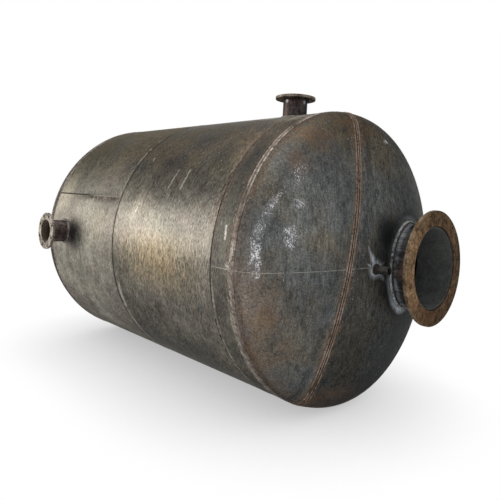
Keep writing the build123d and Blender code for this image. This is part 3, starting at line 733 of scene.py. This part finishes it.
def pipe_finish(name, node, axis, warm, lift):
    """Pipe scale with rubbed streaks along the pipe, purple-brown tint and rusty freckles, and inside a
    nozzle bore rust near the mouth and painted shade going black deeper in.
    """
    c, desk = tints(), FinishDesk(name)
    low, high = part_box(node)
    radius = round_radius(node, axis)
    cloud = desk.noise(9.0, 5.0, 0.62)
    mottle = desk.noise(26.0, 5.0, 0.68)
    streak = desk.noise(1.0, 4.0, 0.62, tuple(11.0 if i == axis else 58.0 for i in range(3)))
    grit = desk.noise(95.0, 4.0, 0.7)

    tone = 0.40 * cloud + 0.36 * streak + 0.24 * mottle
    desk.ramp(tone, (0.39, c.pipe_black), (0.52, c.pipe_grey), (0.64, c.pipe_rubbed))
    desk.coat(desk.noise(6.0, 3.0, 0.5).ease(0.46, 0.60) * (0.38 + 0.6 * warm), c.pipe_plum)
    desk.coat(mottle.ease(0.50 - 0.1 * warm, 0.64 - 0.1 * warm) * (0.45 + 0.18 * warm), c.rust)
    sore = desk.patch(*NECK_SORE) * grit.ease(0.35, 0.6)
    desk.coat(sore, c.pipe_sore)
    desk.coat(desk.patches(TOP_PIPE_PALE_SPOTS) * 0.5, c.heat)
    desk.grain((1.1, grit), (1.0, streak))
    desk.lighten(lift)
    lining = None
    if node == "manhole_neck":
        over = desk.vector("DISTANCE", desk.place, (CROWN_X, 0.0, AXIS_Z)) - CROWN_R
        desk.coat(over.near(0.024, 0.026) * streak.ease(0.30, 0.56) * cloud.ease(0.36, 0.52) * 0.34, c.heat)
    else:
        # Inside a nozzle bore: rust near the mouth, painted shade going black deeper in
        mouth = low[axis] if axis == 1 else high[axis]
        depth = abs((desk.x, desk.y, desk.z)[axis] - mouth)
        lining = desk.mix(depth.ease(0.085, 0.015), c.pipe_black, c.rust)

    inner = desk.apart((low + high) / 2, axis).ease(radius - 0.003, radius - 0.005)
    rough = 0.30 * cloud + 0.25 * grit + 0.20
    relief = 0.6 * grit + 0.6 * cloud + 0.8 * sore
    return desk.close(rough, relief, 0.0018, 0.6, inner, lining)


def flange_finish(name, node, axis, tones):
    """Turned flange under a film of rust: turning rings on its face, pits, freckles and rubbed edges."""
    c, desk = tints(), FinishDesk(name)
    low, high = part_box(node)
    away = desk.aside((low + high) / 2, axis)
    out = desk.vector("LENGTH", away)
    rings = desk.maths("SINE", out * (2 * math.pi / TURNING_PITCH))
    swirl = desk.noise(1.0, 2.0, 0.5, desk.scaled(desk.vector("NORMALIZE", away), 3.0))
    cloud = desk.noise(7.5, 5.0, 0.64)
    mottle = desk.noise(24.0, 5.0, 0.70)
    grit = desk.noise(70.0, 4.0, 0.76)

    tone = 0.30 * cloud + 0.30 * mottle + 0.22 * grit + 0.18 * swirl
    desk.ramp(tone, *zip((0.36, 0.50, 0.63), tones))
    desk.coat(rings.ease(0.2, 1.0) * 0.16, tones[0])
    desk.coat(desk.noise(4.2, 4.0, 0.6).ease(0.53, 0.68) * mottle.ease(0.38, 0.58) * 0.5, c.flange_red)
    desk.grain((3.0, grit), (2.0, mottle), (2.2, desk.noise(170.0, 3.0, 0.7)))
    if node == "manhole_flange":
        desk.coat(desk.patch(*SCORCHED_SPOT) * mottle.ease(0.34, 0.56) * 0.5, c.orange)
        # Painted light on the manhole flange: lighter towards -y; also darker towards the bottom
        desk.lighten(desk.y.ease(NECK_Y, NECK_Y - 0.30) * 0.9 + 0.96)
        desk.lighten(1.0 - desk.height.ease(-0.12, -0.32) * 0.25)
    if node == "side_nozzle_flange":
        desk.coat(out.ease(SIDE_R + 0.004, SIDE_R + 0.001) * 0.8, c.rust)
    pits = desk.noise(105.0, 3.0, 0.6).ease(0.60, 0.70) * 0.6
    desk.coat(pits, c.flange_dark)
    edge = out.near(round_radius(node, axis), 0.006) * mottle.ease(0.42, 0.60) * 0.5
    desk.coat(desk.noise(34.0, 4.0, 0.6).ease(0.70, 0.78) * 0.8 | edge, c.pale)

    rough = 0.25 * cloud + 0.25 * grit + 0.34
    relief = 0.8 * grit + 0.6 * mottle + 0.10 * rings + -0.9 * pits
    return desk.close(rough, relief, 0.0014, 0.7)


def seam_finish(name, kind="raised"):
    """Weld metal: brown rust over slag. A low seam is a thin dark line, a fading one ends as bare plate."""
    c, desk = tints(), FinishDesk(name)
    x, height = desk.x, desk.height
    cloud = desk.noise(6.5, 5.0, 0.64)
    knots = desk.noise(42.0, 4.0, 0.68)
    grit = desk.noise(110.0, 4.0, 0.7)
    tone = 0.36 * cloud + 0.38 * knots + 0.26 * grit
    inner = None
    if kind == "raised":
        desk.ramp(tone, (0.40, c.seam_black), (0.52, c.bead_dark), (0.66, c.bead_brown))
    else:
        inner = shell_inside(desk)
        desk.ramp(tone, (0.40, c.seam_black), (0.52, c.seam_grey), (0.64, c.scale_grey))
        desk.coat(height.ease(0.05, 0.35) * x.ease(0.5, 0.6) * knots.ease(0.40, 0.62) * 0.55, c.rust)
        desk.coat(height.ease(-0.10, -0.40) * knots.ease(0.42, 0.60) * 0.7, c.pale)
    if kind == "fading":
        desk.coat(x.ease(-0.66, -0.42) * 0.85, c.scale_light)
    rough = 0.3 * cloud + 0.25 * grit + 0.28
    relief = 0.6 * knots + 0.4 * grit
    return desk.close(rough, relief, 0.002, 0.7, inner)


def bead_finish(name, tones, pale_where, pale=None):
    """Weld ripples: rust in the hollows, pale oxide where pale_where says."""
    desk = FinishDesk(name)
    cloud = desk.noise(7.0, 5.0, 0.64)
    knots = desk.noise(52.0, 4.0, 0.68)
    grit = desk.noise(120.0, 3.0, 0.68)
    desk.ramp(0.36 * cloud + 0.40 * knots + 0.24 * grit, *zip((0.39, 0.49, 0.62), tones))
    ragged = desk.noise(46.0, 5.0, 0.82).ease(0.40, 0.57)
    desk.coat(ragged * pale_where(desk, cloud) * 0.85, pale or tints().bead_pale)
    desk.grain((1.0, grit), (0.8, knots))
    rough = 0.3 * cloud + 0.25 * grit + 0.24
    relief = 0.6 * knots + 0.4 * grit
    return desk.close(rough, relief, 0.0015, 0.6)


def dress(node, finish):
    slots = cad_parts[node].data.materials
    slots.clear()
    slots.append(finish)


# Weld ripples


def unit(ways):
    return ways / np.linalg.norm(ways, axis=1)[:, None]


def weld_ripple():
    """Models one ripple of weld metal, one long, one wide and one high, and gives its corners and faces."""
    bpy.ops.object.select_all(action="DESELECT")
    bpy.ops.mesh.primitive_uv_sphere_add(
        segments=10, ring_count=6, radius=0.5, location=(0, 0, 0), rotation=(0, radians(90), 0)
    )
    ripple = bpy.context.object
    bpy.ops.object.transform_apply(location=True, rotation=True, scale=True)
    bpy.ops.object.mode_set(mode="EDIT")
    bpy.ops.mesh.select_all(action="SELECT")
    bpy.ops.mesh.bisect(plane_co=(0, 0, RIPPLE_CUT), plane_no=(0, 0, 1), clear_inner=True)
    bpy.ops.mesh.select_all(action="SELECT")
    bpy.ops.transform.resize(value=(1.0, 1.0, 2.0), center_override=(0, 0, 0))
    bpy.ops.transform.rotate(value=radians(RIPPLE_LEAN), orient_axis="Y", center_override=(0, 0, 0))
    bpy.ops.object.mode_set(mode="OBJECT")
    mesh = ripple.data
    corners = np.array([tuple(v.co) for v in mesh.vertices])
    faces = [tuple(p.vertices) for p in mesh.polygons]
    bpy.data.objects.remove(ripple)
    bpy.data.meshes.remove(mesh)
    return corners, faces


def lay(name, places, ups, alongs, spans, finish):
    """Lays a copy of the ripple at every place and joins them into one bead."""
    corners, faces = weld_ripple()
    sides = unit(np.cross(ups, alongs))
    ways = (np.cross(sides, ups), sides, ups)
    points = places[:, None, :]
    for i, way in enumerate(ways):
        points = points + corners[None, :, i, None] * (way * spans[:, i : i + 1])[:, None, :]
    count = len(corners)
    joined = [tuple(v + k * count for v in face) for k in range(len(places)) for face in faces]
    mesh = bpy.data.meshes.new(name)
    mesh.from_pydata(points.reshape(-1, 3).tolist(), [], joined)
    mesh.polygons.foreach_set("use_smooth", [True] * len(mesh.polygons))
    mesh.materials.append(finish)
    mesh.update()
    bead = bpy.data.objects.new(name, mesh)
    bpy.context.collection.objects.link(bead)
    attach(bead, "root")


def paced(points, ups, step, closed):
    """Places along a path at even steps, with the way up from it and the way along it."""
    if closed:
        points, ups = np.vstack([points, points[:1]]), np.vstack([ups, ups[:1]])
    run = np.concatenate([[0.0], np.cumsum(np.linalg.norm(np.diff(points, axis=0), axis=1))])
    count = max(8, int(round(run[-1] / step)))
    at = np.linspace(0.0, run[-1], count, endpoint=not closed)

    def sample(values, where):
        where = where % run[-1] if closed else np.clip(where, 0.0, run[-1])
        return np.column_stack([np.interp(where, run, values[:, i]) for i in range(3)])

    nudge = step * 0.2
    along = sample(points, at + nudge) - sample(points, at - nudge)
    return sample(points, at), unit(sample(ups, at)), unit(along)


def smoothed(draws, span):
    return np.convolve(draws, np.ones(span) / span, mode="valid")


def bead_run(path, step, width, rise, seed, closed=True, shift=0.0, length_share=RIPPLE_LENGTH_SHARE):
    """One run of ripples on a path, a little uneven as a hand-laid weld is."""
    place, up, along = paced(*path, step, closed)
    chance = np.random.default_rng(seed)
    count = len(place)
    wander = smoothed(chance.normal(0.0, 1.0, count + 24), 25)
    aside = shift + wander * width * 0.18 + chance.normal(0.0, 0.03, count) * width
    place = place + np.cross(up, along) * aside[:, None]
    swell = 1.0 + 0.5 * smoothed(chance.normal(0.0, 0.35, count + 14), 15)
    spans = np.column_stack([
        step * length_share * chance.uniform(0.9, 1.15, count),
        width * swell * chance.uniform(0.93, 1.07, count),
        rise * chance.uniform(0.85, 1.1, count),
    ])
    return place, up, along, spans


def lay_runs(name, runs, finish):
    lay(name, *(np.vstack(parts) for parts in zip(*runs)), finish)


def three_runs(path, width, rise, spacing, seed, closed, length_share=RIPPLE_LENGTH_SHARE):
    """Three runs side by side, spaced by a share of their width."""
    step = sizes().ripple_step
    return [
        bead_run(path, step, width, rise, seed + 10 * k, closed, side * spacing * width, length_share)
        for k, side in enumerate((-1.0, 0.0, 1.0))
    ]


# Paths of the welds, each as points and the ways up from them


def ring_ways(axis, count=720):
    """The ways out from an axis, all round it."""
    turns = np.linspace(0.0, 2 * math.pi, count, endpoint=False)
    return np.insert(np.column_stack([np.cos(turns), np.sin(turns)]), axis, 0.0, axis=1)


def axis_gap(points):
    return np.hypot(points[:, 1], points[:, 2] - AXIS_Z)


def head_x(out):
    """How far along the tank the outside of the front end lies, at a distance out from the axis."""
    crown = CROWN_X + np.sqrt(np.maximum(CROWN_R ** 2 - out ** 2, 0.0))
    past_ring = np.maximum(out - KNUCKLE_RING, 0.0)
    knuckle = KNUCKLE_X + np.sqrt(np.maximum(KNUCKLE_R ** 2 - past_ring ** 2, 0.0))
    return np.where(out < BLEND_R, crown, knuckle)


def head_up(points):
    """The way out of the front end's surface at points on it."""
    out = axis_gap(points)
    flat = points - (0.0, 0.0, AXIS_Z)
    ring = flat / out[:, None] * KNUCKLE_RING
    ring[:, 0] = KNUCKLE_X
    return unit(np.where((out < BLEND_R)[:, None], flat - (CROWN_X, 0.0, 0.0), flat - ring))


def chord_path():
    """The line of the chord weld on the front end, from its lowest point to its highest."""
    normal = chord_normal()
    heights = np.linspace(-SHELL_R, SHELL_R, 6001)
    low = np.full(len(heights), -SHELL_R * 0.9)
    high = np.full(len(heights), SHELL_R * 0.3)

    def gap(y):
        out = np.minimum(np.hypot(y, heights), SHELL_R)
        along = normal.x * (head_x(out) - END_SEAM)
        return along + normal.y * (y + sizes().chord_offset) + normal.z * heights

    for _ in range(60):
        centre = (low + high) / 2
        over = gap(centre) > 0
        high = np.where(over, centre, high)
        low = np.where(over, low, centre)
    y = (low + high) / 2
    out = np.hypot(y, heights)
    keep = out < SHELL_R - 0.0002
    points = np.column_stack([head_x(out[keep]), y[keep], heights[keep] + AXIS_Z])
    return points, head_up(points)


def girth_path(x):
    ups = ring_ways(0, 1440) * (1.0, -1.0, 1.0)
    return ups * SHELL_R + (x, 0.0, AXIS_Z), ups


def head_foot(y, z, radius, pipe_share=1.0, end_share=1.0):
    """The line round a pipe on the front end, leaning between the ways out of the pipe and the end."""
    away = ring_ways(0)
    points = away * radius + (0.0, y, z)
    points[:, 0] = head_x(axis_gap(points))
    return points, away * pipe_share + head_up(points) * end_share


def nozzle_foot(x, radius, axis, way):
    """The line round a nozzle pipe on the shell, leaning between the ways out of the pipe and the shell."""
    away = ring_ways(axis)
    points = away * radius
    points[:, axis] = way * np.sqrt(SHELL_R ** 2 - points[:, 3 - axis] ** 2)
    return points + (x, 0.0, AXIS_Z), away + points * (0.0, 1.0, 1.0) / SHELL_R


def flange_back(node, pipe, axis, way):
    """The line round a pipe behind its flange, leaning between the ways out of the two."""
    low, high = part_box(node)
    ups = ring_ways(axis)
    points = np.array((low + high) / 2) + ups * (round_radius(pipe, axis) + FLANGE_GAP)
    points[:, axis] = (low[axis] if way > 0 else high[axis]) - way * FLANGE_GAP
    ups[:, axis] = -way
    return points, ups


# Steps


class TANK_OT_plates(bpy.types.Operator):
    """Give the shell plates and the pressed ends their mill scale"""

    bl_idname = "tank.plates"
    bl_label = "Finish Plates"

    def execute(self, context):
        dress("rear_course", shell_finish("rear_mill_scale", lift=2.1, dull=0.20))
        dress("middle_course", shell_finish("middle_mill_scale", lift=1.29, contrast=1.0))
        dress("front_ring", shell_finish("ring_mill_scale", lift=0.88, dull=0.14, ring=True))
        dress("front_head_side", head_finish("front_side_scale", front=True))
        dress("front_head_main", head_finish("front_main_scale", main=True, front=True))
        dress("rear_head_side", head_finish("rear_side_scale"))
        dress("rear_head_main", head_finish("rear_main_scale", main=True))
        return {"FINISHED"}


class TANK_OT_pipes(bpy.types.Operator):
    """Give the manhole neck, the nozzle pipes and the stub their pipe scale"""

    bl_idname = "tank.pipes"
    bl_label = "Finish Pipes"

    def execute(self, context):
        for node, axis, warm, lift in PIPES:
            dress(node, pipe_finish(node + "_scale", node, axis, warm, lift))
        return {"FINISHED"}


class TANK_OT_flanges(bpy.types.Operator):
    """Give each flange turning rings about its own axis and a film of rust"""

    bl_idname = "tank.flanges"
    bl_label = "Finish Flanges"

    def execute(self, context):
        c = tints()
        brown = (c.flange_dark, c.flange_rust, c.flange_bright)
        dull = (c.flange_dark, c.bead_clay, c.knuckle)
        grey = (c.face_dark, c.face_grey, c.face_light)
        for (node, _, axis, _, _), tones in zip(FLANGES, (brown, dull, grey)):
            dress(node, flange_finish(node + "_rust", node, axis, tones))
        return {"FINISHED"}


class TANK_OT_seams(bpy.types.Operator):
    """Give the weld solids their rusty metal, darker on the low seams"""

    bl_idname = "tank.seams"
    bl_label = "Finish Weld Solids"

    def execute(self, context):
        low = seam_finish("low_seam_metal", "low")
        raised = seam_finish("weld_metal")
        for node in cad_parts:
            if node.endswith("_weld"):
                dress(node, low if node in LOW_SEAMS else raised)
        dress("rear_long_weld", seam_finish("fading_seam_metal", "fading"))
        return {"FINISHED"}


class TANK_OT_girth_beads(bpy.types.Operator):
    """Lay three runs of ripples round each end seam"""

    bl_idname = "tank.girth_beads"
    bl_label = "Girth Beads"

    def pale(self, desk, cloud):
        height, reach = desk.height, desk.reach
        toes = abs(reach - END_SEAM).ease(0.004, 0.011) + 0.12
        shell_side = reach.ease(END_SEAM + 0.002, END_SEAM - 0.010)
        high = height.ease(0.20, 0.45) * toes * cloud.ease(0.30, 0.52) * 0.9
        low = height.ease(0.0, -0.12) * (shell_side * 0.6 + 0.4)
        return (high | height.near(0.04, 0.14) | low | shell_side * 0.3) * cloud.ease(0.26, 0.50)

    def execute(self, context):
        s, c = sizes(), tints()
        brown = bead_finish("front_girth_metal", (c.bead_dark, c.bead_umber, c.bead_clay), self.pale)
        grey = bead_finish("rear_girth_metal", (c.bead_dark, c.bead_grey, c.scale_light), self.pale)
        dress("front_girth_weld", brown)
        for end, x, finish, seed in (("front", END_SEAM, brown, 11), ("rear", -END_SEAM, grey, 12)):
            path = girth_path(x)
            spacing, length_share = GIRTH_SPACING_SHARE, GIRTH_LENGTH_SHARE
            runs = three_runs(path, s.girth_bead, s.girth_rise, spacing, seed, True, length_share)
            lay_runs(end + "_girth_beads", runs, finish)
        return {"FINISHED"}


class TANK_OT_chord_beads(bpy.types.Operator):
    """Lay three runs of ripples along the chord weld of each end"""

    bl_idname = "tank.chord_beads"
    bl_label = "Chord Beads"

    def pale(self, desk, cloud):
        return cloud.ease(0.46, 0.64) * 0.55

    def execute(self, context):
        s, c = sizes(), tints()
        finish = bead_finish("chord_bead_metal", (c.bead_dark, c.bead_light, c.bead_rose), self.pale)
        points, ups = chord_path()
        for end, way, seed in (("front", 1.0, 31), ("rear", -1.0, 32)):
            turned = np.array([way, 1.0, 1.0])
            path = points * turned, ups * turned
            runs = three_runs(path, s.chord_bead, s.chord_rise, CHORD_SPACING_SHARE, seed, False)
            lay_runs(end + "_chord_beads", runs, finish)
        return {"FINISHED"}


class TANK_OT_neck_beads(bpy.types.Operator):
    """Lay the ripples round the feet of the manhole neck and the pipe stub"""

    bl_idname = "tank.neck_beads"
    bl_label = "Neck and Stub Beads"

    def pale(self, desk, cloud):
        off = desk.apart((0.0, NECK_Y, NECK_Z), 0) - NECK_R
        toes = off.near(0.019, 0.010) | off.near(0.002, 0.005) * 0.9 | off.ease(0.03, 0.05)
        return toes * cloud.ease(0.22, 0.44)

    def execute(self, context):
        s, c = sizes(), tints()
        tones = (c.pipe_black, c.bead_grey, c.pipe_rubbed)
        finish = bead_finish("neck_bead_metal", tones, self.pale, c.bead_frost)
        dress("manhole_neck_weld", finish)
        runs = []
        for gap, rise, pipe_share, end_share, seed in NECK_RUNS:
            path = head_foot(NECK_Y, NECK_Z, NECK_R + gap, pipe_share, end_share)
            runs.append(bead_run(path, s.ripple_step, s.neck_bead, rise, seed))
        lay_runs("manhole_neck_beads", runs, finish)
        path = head_foot(STUB_Y, STUB_Z, STUB_R + STUB_GAP)
        run = bead_run(path, s.ripple_step * STUB_STEP_SHARE, s.stub_bead, s.stub_rise, 53)
        lay_runs("pipe_stub_beads", [run], finish)
        return {"FINISHED"}


class TANK_OT_nozzle_beads(bpy.types.Operator):
    """Lay the ripples round the feet of the two nozzle pipes"""

    bl_idname = "tank.nozzle_beads"
    bl_label = "Nozzle Beads"

    def pale(self, desk, cloud):
        return cloud.ease(0.32, 0.52)

    def execute(self, context):
        s, c = sizes(), tints()
        finish = bead_finish("nozzle_bead_metal", (c.bead_dark, c.bead_grey, c.scale_light), self.pale)
        for place, x, radius, axis, way, seed in (
            ("top", TOP_X, TOP_R, 2, 1.0, 61),
            ("side", SIDE_X, SIDE_R, 1, -1.0, 62),
        ):
            dress(place + "_nozzle_weld", finish)
            path = nozzle_foot(x, radius + NOZZLE_GAP, axis, way)
            run = bead_run(path, s.ripple_step * PIPE_STEP_SHARE, s.nozzle_bead, s.pipe_rise, seed)
            lay_runs(place + "_nozzle_beads", [run], finish)
        return {"FINISHED"}


class TANK_OT_flange_beads(bpy.types.Operator):
    """Lay the ripples between each flange's back and its pipe"""

    bl_idname = "tank.flange_beads"
    bl_label = "Flange Beads"

    def pale(self, desk, cloud):
        return cloud.ease(0.42, 0.62) * 0.7

    def execute(self, context):
        s, c = sizes(), tints()
        finish = bead_finish("flange_bead_metal", (c.pipe_black, c.bead_dark, c.bead_brown), self.pale)
        for node, pipe, axis, way, seed in FLANGES:
            path = flange_back(node, pipe, axis, way)
            run = bead_run(path, s.ripple_step * PIPE_STEP_SHARE, s.flange_bead, s.pipe_rise, seed)
            lay_runs(node + "_beads", [run], finish)
        return {"FINISHED"}


class TANK_OT_spatter(bpy.types.Operator):
    """Scatter drops of weld metal beside the seams"""

    bl_idname = "tank.spatter"
    bl_label = "Weld Spatter"

    def pale(self, desk, cloud):
        return cloud.ease(0.34, 0.56)

    def on_shell(self, chance):
        """Drops beside the front girth weld, with the ways up from them."""
        turns = chance.uniform(0.0, 2 * math.pi, SHELL_DROPS)
        away = chance.exponential(SHELL_SCATTER, SHELL_DROPS) + SHELL_CLEAR
        ups = np.column_stack([np.zeros(SHELL_DROPS), -np.cos(turns), np.sin(turns)])
        points = ups * SHELL_R + (0.0, 0.0, AXIS_Z)
        points[:, 0] = END_SEAM - away
        return points, ups

    def on_head(self, chance, path):
        """Drops beside the front chord weld, with the ways up from them."""
        points = path[chance.integers(0, len(path), END_DROPS)]
        side = chance.choice([-1.0, 1.0], END_DROPS)
        points[:, 1] += side * (chance.exponential(END_SCATTER, END_DROPS) + END_CLEAR)
        points = points[axis_gap(points) < SHELL_R - EDGE_CLEAR]
        points[:, 0] = head_x(axis_gap(points))
        return points, head_up(points)

    def execute(self, context):
        s, c = sizes(), tints()
        chance = np.random.default_rng(91)
        finish = bead_finish("spatter_metal", (c.bead_dark, c.bead_brown, c.knuckle), self.pale)
        path, _ = chord_path()
        places, ways = [], []
        for end in (1.0, -1.0):
            turned = np.array([end, 1.0, 1.0])
            for points, ups in (self.on_shell(chance), self.on_head(chance, path)):
                places.append(points * turned)
                ways.append(ups * turned)
        points, ups = np.vstack(places), np.vstack(ways)
        count = len(points)
        alongs = unit(np.cross(ups, chance.normal(0.0, 1.0, (count, 3))))
        wide = s.spatter_size * chance.uniform(0.35, 1.0, count)
        spans = np.column_stack([wide * chance.uniform(0.9, 1.5, count), wide, wide * 0.4])
        lay("weld_spatter", points, ups, alongs, spans, finish)
        return {"FINISHED"}


class TANK_OT_stage(bpy.types.Operator):
    """Set the pale floor, the soft lamps, the white surround and the camera"""

    bl_idname = "tank.stage"
    bl_label = "Stage"

    def floor(self):
        bpy.ops.object.select_all(action="DESELECT")
        bpy.ops.mesh.primitive_plane_add(size=FLOOR_SIZE, location=(0.0, 0.0, FLOOR_Z))
        floor = bpy.context.object
        floor.name = "studio_floor"
        bpy.ops.object.transform_apply(location=True, rotation=True, scale=True)
        paint = bpy.data.materials.new("floor_paint")
        desk = NodeDesk(paint)
        matt = desk.node("ShaderNodeBsdfDiffuse", {"Color": tints().floor})
        shadow = desk.node("ShaderNodeAmbientOcclusion", {"Distance": 0.9}, samples=16).outputs["AO"]
        inputs = {"Value": shadow, "From Min": 0.0, "From Max": 0.85, "To Min": 0.45, "To Max": 1.0}
        level = desk.node("ShaderNodeMapRange", inputs).outputs["Result"]
        glow = desk.node("ShaderNodeEmission", {"Strength": level})
        desk.split("ShaderNodeOutputMaterial", matt, glow)
        floor.data.materials.append(paint)

    def surround(self, context):
        world = bpy.data.worlds.new("studio_surround")
        context.scene.world = world
        desk = NodeDesk(world)
        room = desk.node("ShaderNodeBackground", {"Color": ROOM_TINT, "Strength": ROOM_STRENGTH})
        white = desk.node("ShaderNodeBackground", {"Color": (1.0, 1.0, 1.0, 1.0)})
        desk.split("ShaderNodeOutputWorld", room, white)

    def lamp(self, context, name, place, target, wide, high, watts, tint):
        data = bpy.data.lights.new(name, "AREA")
        data.shape = "RECTANGLE"
        data.size, data.size_y = wide, high
        data.energy = watts
        data.color = tint
        lamp = bpy.data.objects.new(name, data)
        context.collection.objects.link(lamp)
        lamp.visible_camera = False
        lamp.location = place
        lamp.rotation_euler = (Vector(target) - Vector(place)).to_track_quat("-Z", "Y").to_euler()

    def camera(self, context):
        data = bpy.data.cameras.new("view_camera")
        data.sensor_fit = "HORIZONTAL"
        data.sensor_width = CAMERA_SENSOR
        data.lens = CAMERA_LENS
        data.shift_y = CAMERA_SHIFT
        data.clip_end = CAMERA_REACH
        camera = bpy.data.objects.new("view_camera", data)
        context.collection.objects.link(camera)
        turned = Matrix((CAMERA_RIGHT, CAMERA_UP, CAMERA_BACK)).transposed().to_4x4()
        turned.translation = CAMERA_PLACE
        camera.matrix_world = turned
        context.scene.camera = camera

    def execute(self, context):
        self.floor()
        self.surround(context)
        for lamp in LAMPS:
            self.lamp(context, *lamp)
        self.camera(context)
        context.scene.view_settings.view_transform = "Standard"
        return {"FINISHED"}


STEPS = (
    TANK_OT_plates,
    TANK_OT_pipes,
    TANK_OT_flanges,
    TANK_OT_seams,
    TANK_OT_girth_beads,
    TANK_OT_chord_beads,
    TANK_OT_neck_beads,
    TANK_OT_nozzle_beads,
    TANK_OT_flange_beads,
    TANK_OT_spatter,
    TANK_OT_stage,
)


class TANK_PT_sidebar(bpy.types.Panel):
    """Lists the tank's sizes, colours and steps"""

    bl_idname = "TANK_PT_sidebar"
    bl_label = "Welded Tank"
    bl_space_type = "VIEW_3D"
    bl_region_type = "UI"
    bl_category = "Tank"

    def draw(self, context):
        for group in (context.scene.tank_sizes, context.scene.tank_colours):
            box = self.layout.box()
            for name in group.__annotations__:
                box.prop(group, name)
        for step in STEPS:
            self.layout.operator(step.bl_idname)


CLASSES = (TankSizes, TankColours, *STEPS, TANK_PT_sidebar)


def register():
    for cls in CLASSES:
        bpy.utils.register_class(cls)
    bpy.types.Scene.tank_sizes = bpy.props.PointerProperty(type=TankSizes)
    bpy.types.Scene.tank_colours = bpy.props.PointerProperty(type=TankColours)


def unregister():
    del bpy.types.Scene.tank_colours
    del bpy.types.Scene.tank_sizes
    for cls in reversed(CLASSES):
        bpy.utils.unregister_class(cls)


def main():
    register()
    bpy.ops.object.select_all(action="DESELECT")
    bpy.ops.tank.plates()
    bpy.ops.tank.pipes()
    bpy.ops.tank.flanges()
    bpy.ops.tank.seams()
    bpy.ops.tank.girth_beads()
    bpy.ops.tank.chord_beads()
    bpy.ops.tank.neck_beads()
    bpy.ops.tank.nozzle_beads()
    bpy.ops.tank.flange_beads()
    bpy.ops.tank.spatter()
    bpy.ops.tank.stage()
    bpy.context.view_layer.update()


if __name__ == "__main__":
    main()
